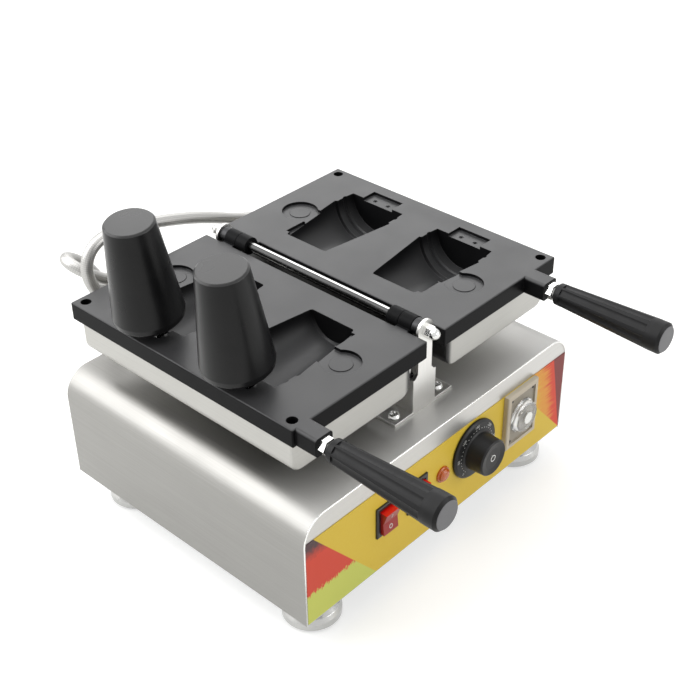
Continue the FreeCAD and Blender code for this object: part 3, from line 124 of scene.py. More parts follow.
def link(material, socket, target):
    """Feed a socket of one node into an input of another."""
    material.node_tree.links.new(socket, target)


def stretched(material, x, y, z):
    """Object coordinates divided by a grain's real size in metres along each axis."""
    place = add(material, "TexCoord").outputs["Object"]
    return add(material, "Mapping", {"Vector": place, "Scale": (1 / x, 1 / y, 1 / z)}).outputs["Vector"]


def axes(material, which):
    """The x, y and z of a point's own place ("Object") or of its own normal ("Normal")."""
    return add(material, "SeparateXYZ", {"Vector": add(material, "TexCoord").outputs[which]}).outputs


def clothe(material, *names):
    """Give CAD nodes a finish."""
    for name in names:
        nodes[name].data.materials.clear()
        nodes[name].data.materials.append(material)
    print(material.name, "on", len(names), "solids")


def quads(rows, columns, closed=False):
    """Corner numbers of the squares of a grid of points, with the last column joined to the first if closed."""
    last = columns if closed else columns - 1
    r, c = np.meshgrid(np.arange(rows - 1), np.arange(last), indexing="ij")
    here, beside = r * columns + c, r * columns + (c + 1) % columns
    return np.stack([here, beside, beside + columns, here + columns], -1).reshape(-1, 4)


def piece(name, points, faces, material, body=None, smooth=True):
    """A mesh object at the origin, whose place is in its points, riding on a body."""
    mesh = bpy.data.meshes.new(name)
    mesh.from_pydata(np.asarray(points).tolist(), [], [list(map(int, f)) for f in faces])
    mesh.polygons.foreach_set("use_smooth", np.full(len(mesh.polygons), smooth))
    mesh.materials.append(material)
    mesh.update()
    made = bpy.data.objects.new(name, mesh)
    bpy.context.collection.objects.link(made)
    if body:
        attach(made, body)
    return made


def joined(parts):
    """Several (points, faces) pairs as one, with the corner numbers moved on."""
    points, faces, start = [], [], 0
    for p, f in parts:
        points.append(np.asarray(p))
        faces += [[int(i) + start for i in face] for face in f]
        start += len(p)
    return np.concatenate(points), faces


print("helpers ready")

# %% [markdown]
# ## Floor and light
# A catalogue picture has a white sweep with a faint shadow. The floor is a near-white sheet that glows a little to
# the camera and in reflections, which lifts it to white without lighting the machine. The world is white to the
# camera and dimmer as a light, so that the lamps still draw a soft shadow. One large softbox hangs overhead, a
# little behind the machine, and a weaker one fills the front. One at the back left is mirrored by the cover's bend,
# and one at the back right by the faces that look up.

# %% Floor
FLOOR_SIZE = 6.0
FLOOR_GLOW = 0.55
floor_finish, floor_shader = new_finish("white paper sweep", Base_Color=linear("#c8c8c6"), Roughness=0.9,
                                        Emission_Color=(1, 1, 1, 1))
paper = add(floor_finish, "TexNoise", {"Vector": stretched(floor_finish, 0.004, 0.004, 0.004), "Scale": 1.0})
paper_bump = add(floor_finish, "Bump", {"Height": paper.outputs["Fac"], "Strength": 0.02, "Distance": 0.0003})
link(floor_finish, paper_bump.outputs["Normal"], floor_shader.inputs["Normal"])


def shown(material):
    """One for a ray that shows its target: from the camera, off a gloss or through a clear piece."""
    ray = add(material, "LightPath")
    gloss = add(material, "Math", {0: ray.outputs["Is Glossy Ray"], 1: ray.outputs["Is Transmission Ray"]},
                operation="MAXIMUM")
    seen = add(material, "Math", {0: ray.outputs["Is Camera Ray"], 1: gloss.outputs[0]}, operation="MAXIMUM")
    return seen.outputs[0]


glow = add(floor_finish, "Math", {0: shown(floor_finish), 1: FLOOR_GLOW}, operation="MULTIPLY")
link(floor_finish, glow.outputs[0], floor_shader.inputs["Emission Strength"])
h = FLOOR_SIZE / 2
floor = piece("floor", [(-h, -h, 0), (h, -h, 0), (h, h, 0), (-h, h, 0)], [(0, 1, 2, 3)], floor_finish)
print("floor side in metres:", FLOOR_SIZE)

# %% World
WORLD_LIGHT, WORLD_SEEN = 0.45, 1.0
world = bpy.data.worlds.new("studio")
bpy.context.scene.world = world
world.use_nodes = True
world.node_tree.nodes.clear()
strength = add(world, "Mix", {0: shown(world), 2: WORLD_LIGHT, 3: WORLD_SEEN}, data_type="FLOAT")
sky = add(world, "Background", {"Color": (1, 1, 1, 1), "Strength": strength.outputs[0]})
add(world, "OutputWorld", {"Surface": sky.outputs["Background"]})
print("world strength as a light and as seen:", WORLD_LIGHT, WORLD_SEEN)


# %% Softboxes
def softbox(name, place, aim, width, height, power):
    """A rectangular lamp at a place in metres, facing the aim, with a power in watts."""
    data = bpy.data.lights.new(name, "AREA")
    data.shape, data.size, data.size_y, data.energy = "RECTANGLE", width, height, power
    lamp = bpy.data.objects.new(name, data)
    lamp.location = place
    lamp.rotation_euler = (Vector(aim) - Vector(place)).to_track_quat("-Z", "Y").to_euler()
    bpy.context.collection.objects.link(lamp)


SOFTBOXES = (
    ("overhead", (-0.2, 0.5, 2.0), (0, 0.1, 0), 1.9, 1.9, 24),
    ("back left", (-1.15, 1.25, 1.15), (-0.1, 0, 0.15), 2.0, 1.5, 32),
    ("front", (0.8, -1.8, 0.9), (0, 0, 0.1), 1.4, 0.8, 14),
    ("back right", (1.1, 1.05, 1.2), (0, 0, 0.2), 1.6, 1.2, 11),
)
for box in SOFTBOXES:
    softbox(*box)
print("softboxes:", len(SOFTBOXES))

# %% [markdown]
# ## Stainless sheet
# The base and the brackets are folded from brushed 304 sheet. Brushing leaves long fine scratches, so the
# reflection is streaky along them and soft across them. The scratches are drawn about a millimetre apart, coarser
# than life, because finer ones would not show. They could come from an image, but a noise stretched along the
# brushing never repeats, and the same noise can move the tone, the roughness and the bump.


# %% Brushed stainless
def brushed(name, light, dark, grain, low, high):
    """Satin metal: a noise stretched along the brushing mixes two greys and moves the roughness."""
    material, shader = new_finish(name, Metallic=1.0)
    scratch = add(material, "TexNoise", {"Vector": stretched(material, *grain), "Scale": 1.0, "Detail": 4.0})
    cloud = add(material, "TexNoise", {"Vector": stretched(material, 0.05, 0.05, 0.05), "Scale": 1.0,
                                       "Detail": 2.0})
    tone = add(material, "Mix", {0: scratch.outputs["Fac"], 6: linear(light), 7: linear(dark)}, data_type="RGBA")
    link(material, tone.outputs[2], shader.inputs["Base Color"])
    both = add(material, "Math", {0: scratch.outputs["Fac"], 1: cloud.outputs["Fac"]}, operation="ADD")
    rough = add(material, "MapRange", {"Value": both.outputs[0], "From Min": 0.6, "From Max": 1.4,
                                       "To Min": low, "To Max": high})
    link(material, rough.outputs["Result"], shader.inputs["Roughness"])
    soft = add(material, "Bevel", {"Radius": 0.0007}, samples=4)
    relief = add(material, "Bump", {"Height": scratch.outputs["Fac"], "Strength": 0.04, "Distance": 0.0002,
                                    "Normal": soft.outputs["Normal"]})
    link(material, relief.outputs["Normal"], shader.inputs["Normal"])
    return material


COARSE = 0.0008   # the scratches' spacing in metres
cover_steel = brushed("brushed stainless sheet", "#9c9b98", "#92918e", (COARSE, 0.09, COARSE), 0.4, 0.5)
front_steel = brushed("brushed stainless front", "#cccbc8", "#c0bfbc", (0.09, COARSE, COARSE), 0.3, 0.4)
bracket_steel = brushed("brushed stainless bracket", "#ecebe8", "#e0dfdc", (COARSE, COARSE, 0.05), 0.26, 0.38)
pan_steel = brushed("satin pressed pan", "#b6b5b1", "#acaba7", (0.06, 0.06, COARSE), 0.34, 0.46)
clothe(cover_steel, "base_cover")
clothe(front_steel, "front_plate")
clothe(bracket_steel, "hinge_bracket_front", "hinge_bracket_rear")
clothe(pan_steel, "pan_left", "pan_right")

# %% [markdown]
# Beside the hinge the pans' walls are painted black, a painted shade, and along its front the cover's top is
# painted pale and matt, a painted light. Both lie over the metal as a coat that takes its mirror away as well as its
# colour. They could be painted on a map by hand; a smooth step on a point's distance from the hinge, or from the
# front, follows the sheet by itself.


# %% Painted shade by the hinge and painted light along the front
def filmed(material, value, untouched_at, full, code):
    """Mix a finish's colour towards a flat matt colour as a value runs between two bounds, and take its mirror away.
    """
    shader = next(n for n in material.node_tree.nodes if n.type == "BSDF_PRINCIPLED")
    share = add(material, "MapRange", {"Value": value, "From Min": untouched_at, "From Max": full},
                interpolation_type="SMOOTHSTEP").outputs["Result"]
    base = shader.inputs["Base Color"]
    before = base.links[0].from_socket if base.is_linked else tuple(base.default_value)
    overlaid = add(material, "Mix", {0: share, 6: before, 7: linear(code)}, data_type="RGBA")
    link(material, overlaid.outputs[2], base)
    bare = add(material, "Math", {0: 1.0, 1: share}, operation="SUBTRACT")
    link(material, bare.outputs[0], shader.inputs["Metallic"])


HINGE_SHADE_REACH = 0.030, 0.0245   # from the hinge line: bare beyond the first, painted black shade within the second
FRONT_LIGHT_REACH = -0.06, -0.17    # along y on the top: bare metal behind the first, painted pale light towards the second
from_hinge = add(pan_steel, "Math", {0: axes(pan_steel, "Object")["X"]}, operation="ABSOLUTE")
# painted shade: the pan walls nearest the hinge are painted black, standing in for the shade between the plates
filmed(pan_steel, from_hinge.outputs[0], *HINGE_SHADE_REACH, "#0e0e0e")
# painted light: the cover's top is painted pale and matt towards its front, standing in for a brighter reflection
front_top = add(cover_steel, "Math", {0: axes(cover_steel, "Object")["Y"], 1: axes(cover_steel, "Normal")["Z"]},
                operation="MULTIPLY")
filmed(cover_steel, front_top.outputs[0], *FRONT_LIGHT_REACH, "#c6c5c2")
print("pan walls painted dark by the hinge, cover top painted pale along its front")

# %% [markdown]
# The cover's cut front edge is ground and rounded, and draws a thin bright line round the panel. It is swept along
# an upside-down U: each place is the bend's centre plus the radius along the outward normal, which turns from left
# through up to right. A bevel on the sheet would only look round; this bead is round, and catches the light.

# %% Ground front edge of the cover
SHEET, BEND, COVER_HALF = 0.0015, 0.024, 0.170
COVER_FOOT, COVER_TOP, COVER_FRONT = 0.026, 0.132, -0.143
BEND_STEPS, BEAD_SIDES = 17, 12
turn = np.r_[math.pi, np.linspace(math.pi, math.pi / 2, BEND_STEPS), np.linspace(math.pi / 2, 0, BEND_STEPS), 0]
bend_x = np.repeat([BEND - COVER_HALF, COVER_HALF - BEND], len(turn) // 2)
centre = np.c_[bend_x, np.full(len(turn), COVER_TOP - BEND)]
centre[[0, -1], 1] = COVER_FOOT
outward = np.c_[np.cos(turn), np.zeros_like(turn), np.sin(turn)]
spine = np.insert(centre, 1, COVER_FRONT, axis=1) + (BEND - SHEET / 2) * outward
round_edge = np.linspace(0, 2 * math.pi, BEAD_SIDES, endpoint=False)
bead = spine[:, None] + SHEET / 2 * (np.cos(round_edge)[:, None] * outward[:, None]
                                     + np.sin(round_edge)[:, None] * np.array([0.0, 1.0, 0.0]))
bead_points = bead.reshape(-1, 3)
bead_walls = quads(len(spine), BEAD_SIDES, closed=True)[:, ::-1].tolist()
bead_caps = [list(range(BEAD_SIDES)), list(range(len(bead_points) - BEAD_SIDES, len(bead_points)))[::-1]]
ground_steel = brushed("ground sheet edge", "#f0f0ee", "#e6e6e4", (COARSE, COARSE, COARSE), 0.2, 0.3)
piece("cover_ground_edge", bead_points, bead_walls + bead_caps, ground_steel, "base")
print("ground edge points:", len(bead_points))

# %% [markdown]
# ## Bright turned and plated parts
# Cap nuts, studs and feet are turned and plated. They mirror the studio; fine polishing haze and finger marks are
# all that keeps them from being perfect. Each foot is dark grey and matt along its lowest couple of millimetres. The
# shaft is ground bright; its flanks are painted near black as painted shade, so only a thin line along its crown
# stays bright. Its spacers are blackened. A cloudy noise moves the roughness, because one value all over would look
# computed.


# %% Plated metal
def plated(name, tint, low, high):
    """Polished metal whose roughness drifts with a cloudy haze."""
    material, shader = new_finish(name, Base_Color=linear(tint), Metallic=1.0)
    haze = add(material, "TexNoise", {"Vector": stretched(material, 0.006, 0.006, 0.006), "Scale": 1.0,
                                      "Detail": 3.0})
    rough = add(material, "MapRange", {"Value": haze.outputs["Fac"], "From Min": 0.3, "From Max": 0.7,
                                       "To Min": low, "To Max": high})
    link(material, rough.outputs["Result"], shader.inputs["Roughness"])
    soft = add(material, "Bevel", {"Radius": 0.0004}, samples=4)
    link(material, soft.outputs["Normal"], shader.inputs["Normal"])
    return material


CROWN = 0.985, 0.95     # upward part of the shaft's normal: bright above the first, painted dark shade below the second
FOOT_DARK_BAND = 0.0024, 0.0016    # heights: chrome above the first, dark grey and matt below the second
chrome = plated("bright zinc plate", "#dededc", 0.1, 0.2)
shaft_steel = plated("ground shaft with painted shade", "#dededc", 0.2, 0.3)
# painted shade: the shaft's flanks are painted near black, so only its crown shows bright
filmed(shaft_steel, axes(shaft_steel, "Normal")["Z"], *CROWN, "#0a0a0a")
foot_chrome = plated("polished foot", "#bcbcba", 0.14, 0.24)
# each foot turns dark grey and matt along its lowest couple of millimetres
filmed(foot_chrome, axes(foot_chrome, "Object")["Z"], *FOOT_DARK_BAND, "#4a4a4a")
nickel = plated("nickel plated gland", "#cfcdc6", 0.18, 0.3)
black_oxide = plated("black oxide steel", "#3a3a3b", 0.3, 0.42)
clothe(shaft_steel, "hinge_shaft")
clothe(chrome, "cap_nuts", "core_hinge_pins", "handle_stud_left", "handle_stud_right", "handle_nut_left",
       "handle_nut_right", "stop_screws", "thermostat_shaft", "bracket_screws", "core_block_screws")
clothe(foot_chrome, "feet")
clothe(nickel, "pan_gland_left", "pan_gland_right", "base_glands")
clothe(black_oxide, "stop_lock_nuts", "pocket_screws", "thermostat_body", "shaft_spacers")

# %% [markdown]
# ## Non-stick castings
# The plates are cast aluminium, machined and sprayed with a grey-black non-stick film. The film is satin with a
# fine orange peel. Faces that look up carry painted light, paler and shinier, and upright walls carry painted shade
# in the full dark tone. The cores are turned, so their faint marks run down their length. The light and shade could
# be painted by hand, but a face's own normal already tells which way it looks, in every cavity.


# %% Non-stick film
HUB_REACH = 0.0105   # the hinge knuckles lie nearer to the shaft than this and get no painted light
# the most painted light on a face that looks up, as a share of the way from the dark tone to the pale
MOST_TOP_LIGHT = 0.9


def non_stick(name, dark, pale, grain, low, high, edge, gloss):
    """Satin film with painted light on faces that look up, paler and shinier; with peel, cloudy tone and rubbed
    edges.
    """
    material, shader = new_finish(name, IOR=1.5)
    peel = add(material, "TexNoise", {"Vector": stretched(material, *grain), "Scale": 1.0, "Detail": 5.0})
    cloud = add(material, "TexNoise", {"Vector": stretched(material, 0.035, 0.035, 0.035), "Scale": 1.0,
                                       "Detail": 3.0})
    # painted light: faces are painted paler and glossier the more their normal looks up; upright walls keep the dark
    # tone as painted shade
    upward = add(material, "MapRange", {"Value": axes(material, "Normal")["Z"], "From Min": 0.1, "From Max": 1.0,
                                        "To Min": 0.0, "To Max": MOST_TOP_LIGHT}, interpolation_type="SMOOTHSTEP")
    reach = add(material, "Math", {0: axes(material, "Object")["X"]}, operation="ABSOLUTE")
    off_hub = add(material, "MapRange", {"Value": reach.outputs[0], "From Min": HUB_REACH - 0.001,
                                         "From Max": HUB_REACH})
    painted_top_light = add(material, "Math", {0: upward.outputs["Result"], 1: off_hub.outputs["Result"]}, operation="MULTIPLY")
    top_gloss = add(material, "MapRange", {"Value": painted_top_light.outputs[0], "From Min": 0.0, "From Max": MOST_TOP_LIGHT,
                                       "To Min": gloss[0], "To Max": gloss[1]})
    link(material, top_gloss.outputs["Result"], shader.inputs["Specular IOR Level"])
    soft = add(material, "Bevel", {"Radius": edge}, samples=4)
    flat = add(material, "NewGeometry")
    turn = add(material, "VectorMath", {0: soft.outputs["Normal"], 1: flat.outputs["True Normal"]},
               operation="DOT_PRODUCT")
    rub = add(material, "MapRange", {"Value": turn.outputs["Value"], "From Min": 0.995, "From Max": 0.8,
                                     "To Min": 0.0, "To Max": 0.25})
    mottle = add(material, "MapRange", {"Value": cloud.outputs["Fac"], "From Min": 0.3, "From Max": 0.7,
                                        "To Min": 0.0, "To Max": 0.1})
    worn = add(material, "Math", {0: rub.outputs["Result"], 1: mottle.outputs["Result"]}, operation="ADD")
    # painted light from above, plus real wear on rubbed edges and a cloudy mottle
    top_light_and_wear = add(material, "Math", {0: painted_top_light.outputs[0], 1: worn.outputs[0]}, operation="ADD", use_clamp=True)
    film = add(material, "Mix", {0: top_light_and_wear.outputs[0], 6: linear(dark), 7: linear(pale)}, data_type="RGBA")
    link(material, film.outputs[2], shader.inputs["Base Color"])
    rough = add(material, "MapRange", {"Value": cloud.outputs["Fac"], "From Min": 0.3, "From Max": 0.7,
                                       "To Min": low, "To Max": high})
    link(material, rough.outputs["Result"], shader.inputs["Roughness"])
    relief = add(material, "Bump", {"Height": peel.outputs["Fac"], "Strength": 0.1, "Distance": 0.0002,
                                    "Normal": soft.outputs["Normal"]})
    link(material, relief.outputs["Normal"], shader.inputs["Normal"])
    return material


PEEL = 0.0014   # metres between the bumps, drawn coarser than life so that they show
# for both films the first tone is the painted shade of upright walls, the second the painted light on faces that
# look up
plate_film = non_stick("non-stick film on cast plate", "#101011", "#333334", grain=(PEEL, PEEL, PEEL),
                       low=0.33, high=0.43, edge=0.0008, gloss=(0.05, 0.42))
core_film = non_stick("non-stick film on turned core", "#0d0d0e", "#3c3c3c", grain=(0.003, 0.003, 0.05),
                      low=0.26, high=0.36, edge=0.0012, gloss=(0.22, 0.36))
clothe(plate_film, "mould_plate_left", "mould_plate_right", "core_hinge_blocks")
clothe(core_film, "core_front", "core_rear")

# %% [markdown]
# ## Moulded grips and controls
# The grips are black phenolic with shallow flutes; the turned-off end face is greyer and matt. Switch bezels and
# the dial are fine-textured ABS. The rockers and the lamp are coloured polycarbonate, clear enough to glow a
# little at their edges. The rockers' end that looks up is painted a brighter red, as painted light. Their texture
# is bump alone, because its grain is finer than a pixel; flutes and edges are in the solids.


# %% Moulded plastics
def moulded(name, tone, pale, low, high, texture, strength=0.06, **sockets):
    """Moulded plastic: a fine spark-eroded texture as bump, with a slight drift of tone and gloss."""
    material, shader = new_finish(name, **sockets)
    spark = add(material, "TexNoise", {"Vector": stretched(material, texture, texture, texture), "Scale": 1.0,
                                       "Detail": 4.0})
    drift = add(material, "TexNoise", {"Vector": stretched(material, 0.02, 0.02, 0.02), "Scale": 1.0,
                                       "Detail": 2.0})
    colour = add(material, "Mix", {0: drift.outputs["Fac"], 6: linear(tone), 7: linear(pale)}, data_type="RGBA")
    link(material, colour.outputs[2], shader.inputs["Base Color"])
    rough = add(material, "MapRange", {"Value": drift.outputs["Fac"], "From Min": 0.3, "From Max": 0.7,
                                       "To Min": low, "To Max": high})
    link(material, rough.outputs["Result"], shader.inputs["Roughness"])
    soft = add(material, "Bevel", {"Radius": 0.0005}, samples=4)
    relief = add(material, "Bump", {"Height": spark.outputs["Fac"], "Strength": strength, "Distance": 0.0002,
                                    "Normal": soft.outputs["Normal"]})
    link(material, relief.outputs["Normal"], shader.inputs["Normal"])
    return material, shader, colour


GRIP_END = -0.2602   # beyond this y only the grips' end faces are left
grip_phenolic, grip_shader, grip_colour = moulded(
    "black phenolic grip", "#0d0d0e", "#141415", 0.38, 0.5, 0.0015, Specular_IOR_Level=0.2)
end_face = add(grip_phenolic, "Math", {0: axes(grip_phenolic, "Object")["Y"], 1: GRIP_END}, operation="LESS_THAN")
greyed = add(grip_phenolic, "Mix", {0: end_face.outputs[0], 6: grip_colour.outputs[2], 7: linear("#727274")},
             data_type="RGBA")
link(grip_phenolic, greyed.outputs[2], grip_shader.inputs["Base Color"])
clothe(grip_phenolic, "grip_left", "grip_right")

switch_abs = moulded("black ABS bezel", "#161617", "#1e1e1f", 0.34, 0.46, 0.001)[0]
dial_abs = moulded("black ABS dial", "#0d0d0e", "#131314", 0.36, 0.48, 0.001, Specular_IOR_Level=0.3)[0]
rocker_red, rocker_shader, rocker_colour = moulded(
    "red polycarbonate rocker", "#96150f", "#a01a13", 0.28, 0.38, 0.004, Specular_IOR_Level=0.4,
    Subsurface_Weight=0.15, Subsurface_Radius=(0.004, 0.001, 0.001))
# painted light: where the rocker's normal looks up its red is painted brighter
lit_end = add(rocker_red, "MapRange", {"Value": axes(rocker_red, "Normal")["Z"], "From Min": 0.3, "From Max": 0.8})
rocker_mix = add(rocker_red, "Mix", {0: lit_end.outputs["Result"], 6: rocker_colour.outputs[2],
                                     7: linear("#e8170c")}, data_type="RGBA")
link(rocker_red, rocker_mix.outputs[2], rocker_shader.inputs["Base Color"])
lamp_amber = moulded("amber polycarbonate lens", "#b5500f", "#cb651b", 0.18, 0.28, 0.003, Coat_Weight=0.3,
                     Subsurface_Weight=0.25, Subsurface_Radius=(0.004, 0.002, 0.001))[0]
timer_beige = moulded("beige ABS timer case", "#bbb09c", "#c6bba8", 0.38, 0.5, 0.001)[0]
terminal_phenolic = moulded("cream phenolic block", "#c9c0ab", "#d6cdb9", 0.5, 0.65, 0.001)[0]
clothe(switch_abs, "power_switch_body", "alarm_switch_body", "mains_gland")
clothe(dial_abs, "temperature_dial")
clothe(rocker_red, "power_rocker", "alarm_rocker")
clothe(lamp_amber, "indicator_lamp")
clothe(timer_beige, "timer_case")
clothe(terminal_phenolic, "terminal_block")

# %% [markdown]
# ## Hidden metal
# The rear wall and the floor of the base are galvanised sheet, with the zinc's flowered grain. The heater rods
# under the plates have an oxidised steel sheath. The sheet shows from behind and below; the pans close the rods in.
# A Voronoi pattern is that grain at once: cells of one grey each.

# %% Galvanised sheet and heater sheath
zinc, zinc_shader = new_finish("galvanised sheet", Metallic=1.0)
spangle = add(zinc, "TexVoronoi", {"Vector": stretched(zinc, 0.008, 0.008, 0.008), "Scale": 1.0})
flower = add(zinc, "SeparateColor", {"Color": spangle.outputs["Color"]})
zinc_tone = add(zinc, "Mix", {0: flower.outputs["Red"], 6: linear("#b2b5b6"), 7: linear("#a2a5a6")},
                data_type="RGBA")
zinc_rough = add(zinc, "MapRange", {"Value": flower.outputs["Green"], "To Min": 0.38, "To Max": 0.52})
link(zinc, zinc_tone.outputs[2], zinc_shader.inputs["Base Color"])
link(zinc, zinc_rough.outputs["Result"], zinc_shader.inputs["Roughness"])
clothe(zinc, "rear_plate", "base_bottom")
sheath = brushed("oxidised heater sheath", "#6e6a66", "#4d4a47", (0.01, 0.01, 0.01), 0.45, 0.6)
clothe(sheath, "heater_left", "heater_right")

# %% [markdown]
# ## The printed panel
# The front carries a satin film, yellow in the middle and with a printed wedge at each end. The left wedge is lime
# below, red above and dark in its top corner, and its bands meet in a bristly line. The right wedge runs from dark
# red at the end through red and orange into the yellow, in streaks along the panel. Both are plain bands of colour.
# A print could be an image; lines worked out from a point's own place need none and stay sharp from near by.

# %% Film and what its print is measured by
PANEL_HALF, PANEL_LOW = 0.1685, 0.0275
film, film_shader = new_finish("printed polyester film", Roughness=0.5, IOR=1.42)
film_place = axes(film, "Object")
rise = add(film, "Math", {0: film_place["Z"], 1: PANEL_LOW}, operation="SUBTRACT").outputs[0]


def slanted(sign, lean):
    """How far a point lies in from one end of the panel, measured along a line that leans with height."""
    inward = add(film, "Math", {0: film_place["X"], 1: -sign, 2: PANEL_HALF}, operation="MULTIPLY_ADD")
    return add(film, "Math", {0: rise, 1: lean, 2: inward.outputs[0]}, operation="MULTIPLY_ADD").outputs[0]


def roughened(value, size, swing):
    """Add noise of a given (x, y, z) grain to a distance, so that what is cut off by it has a ragged edge."""
    noise = add(film, "TexNoise", {"Vector": stretched(film, *size), "Scale": 1.0, "Detail": 2.0})
    shift = add(film, "MapRange", {"Value": noise.outputs["Fac"], "From Min": 0.3, "From Max": 0.7,
                                   "To Min": -swing, "To Max": swing})
    return add(film, "Math", {0: value, 1: shift.outputs["Result"]}, operation="ADD").outputs[0]


def printed(under, over, value, bare, full):
    """Lay one colour over another: none of it where the value is bare, all of it where the value is full."""
    share = add(film, "MapRange", {"Value": value, "From Min": bare, "From Max": full})
    return add(film, "Mix", {0: share.outputs["Result"], 6: under, 7: over}, data_type="RGBA").outputs[2]


print("panel width in mm:", PANEL_HALF * 2000)

# %% Printed wedges
LEFT_LEAN, LEFT_REACH, RIGHT_LEAN, DARK_LEAN = 0.839, 0.0795, -0.89, -0.204
CRISP = 0.0004                  # half the width of a sharp printed edge
LIME_TO_RED = 0.0285, 0.0305    # heights over the panel's lower edge
RED_TO_DARK = 0.066, 0.078
YELLOW_TO_ORANGE = 0.036, 0.022   # distances in from the dark end
ORANGE_TO_RED = 0.016, 0.006
mottle = add(film, "TexNoise", {"Vector": stretched(film, 0.0016, 0.0016, 0.0016), "Scale": 1.0, "Detail": 2.0})
yellow = printed(linear("#e0c244"), linear("#dcba3a"), mottle.outputs["Fac"], 0.0, 1.0)
bristle = roughened(rise, (0.0009, 0.0009, 0.004), 0.0028)
smudge = roughened(rise, (0.004, 0.004, 0.004), 0.002)
left_wedge = printed(linear("#cbd062"), linear("#d4452f"), bristle, *LIME_TO_RED)
left_wedge = printed(left_wedge, linear("#4a3438"), smudge, *RED_TO_DARK)
from_dark = slanted(1, DARK_LEAN)
streak = roughened(from_dark, (0.03, 0.03, 0.0016), 0.006)
right_wedge = printed(yellow, linear("#e2993a"), streak, *YELLOW_TO_ORANGE)
right_wedge = printed(right_wedge, linear("#d9432c"), streak, *ORANGE_TO_RED)
right_wedge = printed(right_wedge, linear("#7c302e"), from_dark, CRISP, -CRISP)
print_colour = printed(yellow, left_wedge, slanted(-1, LEFT_LEAN), LEFT_REACH + CRISP, LEFT_REACH - CRISP)
print_colour = printed(print_colour, right_wedge, slanted(1, RIGHT_LEAN), CRISP, -CRISP)
link(film, print_colour, film_shader.inputs["Base Color"])
clothe(film, "panel_overlay")
print("nodes in the print:", len(film.node_tree.nodes))

# %% [markdown]
# ## Braided conduits
# Two steel-braided conduits run from the back of the base up to the pans, in loose loops behind the left plate.
# Each is one smooth spline, drawn by the same route points as its solid, which were chosen to follow the real hose.

# %% Conduit routes
ENTRY_X = {"conduit_right": -0.030, "conduit_left": -0.070}
ENTRY_BEND = [(0.1942, 0.1104), (0.1846, 0.0936), (0.1678, 0.084), (0.1582, 0.084)]
ROUTES = {
    "conduit_right": [
        (0.086, 0.1367, 0.179), (0.086, 0.147, 0.179), (0.081, 0.155, 0.1788), (0.070, 0.1595, 0.180),
        (0.053, 0.1605, 0.1855), (0.030, 0.160, 0.1965), (0.001, 0.159, 0.209), (-0.033, 0.157, 0.221),
        (-0.068, 0.1555, 0.2305), (-0.097, 0.155, 0.2353), (-0.1135, 0.155, 0.231), (-0.1225, 0.155, 0.2195),
        (-0.1235, 0.155, 0.204), (-0.1175, 0.156, 0.1885), (-0.108, 0.158, 0.1725), (-0.096, 0.161, 0.158),
        (-0.080, 0.1655, 0.1465), (-0.064, 0.174, 0.1375), (-0.050, 0.1855, 0.1305), (-0.038, 0.195, 0.1225),
    ],
    "conduit_left": [
        (-0.062, 0.1367, 0.179), (-0.062, 0.148, 0.179), (-0.067, 0.158, 0.1775), (-0.078, 0.1655, 0.177),
        (-0.092, 0.169, 0.181), (-0.103, 0.1705, 0.188), (-0.110, 0.1713, 0.1945), (-0.1167, 0.1741, 0.2001),
        (-0.1204, 0.1816, 0.2041), (-0.1194, 0.1906, 0.2051), (-0.1143, 0.1978, 0.2025), (-0.107, 0.2004, 0.1975),
        (-0.097, 0.2015, 0.189), (-0.087, 0.2015, 0.176), (-0.079, 0.2005, 0.160), (-0.073, 0.1988, 0.142),
        (-0.0705, 0.1965, 0.1255),
    ],
}
print("route points:", {name: len(route) + len(ENTRY_BEND) for name, route in ROUTES.items()})

# %% [markdown]
# The braid is two sets of wires that wind round the hose in opposite senses. Each set is a sine of the length along
# the hose plus or minus the turn round it, and where the two agree the weave stands proud and pale.

# %% Wire braid
braid, braid_shader = new_finish("stainless wire braid", Metallic=1.0, Roughness=0.44)
braid_uv = add(braid, "SeparateXYZ", {"Vector": add(braid, "UVMap").outputs["UV"]})
strands = []
for sense in (1.0, -1.0):
    lean = add(braid, "Math", {0: braid_uv.outputs["Y"], 1: sense, 2: braid_uv.outputs["X"]},
               operation="MULTIPLY_ADD")
    strands.append(add(braid, "Math", {0: lean.outputs[0], 1: 2 * math.pi}, operation="MULTIPLY"))
waves = [add(braid, "Math", {0: s.outputs[0]}, operation="SINE").outputs[0] for s in strands]
weave = add(braid, "Math", {0: waves[0], 1: waves[1]}, operation="MULTIPLY")
braid_tone = add(braid, "MapRange", {"Value": weave.outputs[0], "From Min": -1.0, "From Max": 1.0})
braid_mix = add(braid, "Mix", {0: braid_tone.outputs["Result"], 6: linear("#a3a2a0"), 7: linear("#bfbebb")},
                data_type="RGBA")
braid_bump = add(braid, "Bump", {"Height": braid_tone.outputs["Result"], "Strength": 0.2, "Distance": 0.0003})
link(braid, braid_mix.outputs[2], braid_shader.inputs["Base Color"])
link(braid, braid_bump.outputs["Normal"], braid_shader.inputs["Normal"])
print("nodes in the braid:", len(braid.node_tree.nodes))

# %% [markdown]
# A curve with a round bevel would give a tube as well, but not the texture map that the braid is drawn by. So the
# tube is a ring of points carried along the spline, with its length and its turn kept as the map.

# %% Conduit tubes
CONDUIT_RADIUS = 0.0055
RING = 24
BRAID_PITCH, BRAID_STARTS = 0.0032, 10   # drawn about twice as coarse as the real wires, which would not show


def spline_line(name, route):
    """The points of one smooth open curve whose control points are the route."""
    data = bpy.data.curves.new(name, "CURVE")
    data.dimensions, data.resolution_u = "3D", 12
    spline = data.splines.new("NURBS")
    spline.points.add(len(route) - 1)
    spline.points.foreach_set("co", np.c_[route, np.ones(len(route))].ravel())
    spline.order_u, spline.use_endpoint_u = 3, True
    holder = bpy.data.objects.new(name, data)
    bpy.context.collection.objects.link(holder)
    mesh = bpy.data.meshes.new_from_object(holder)
    line = np.zeros(len(mesh.vertices) * 3)
    mesh.vertices.foreach_get("co", line)
    bpy.data.objects.remove(holder)
    bpy.data.meshes.remove(mesh)
    return line.reshape(-1, 3)


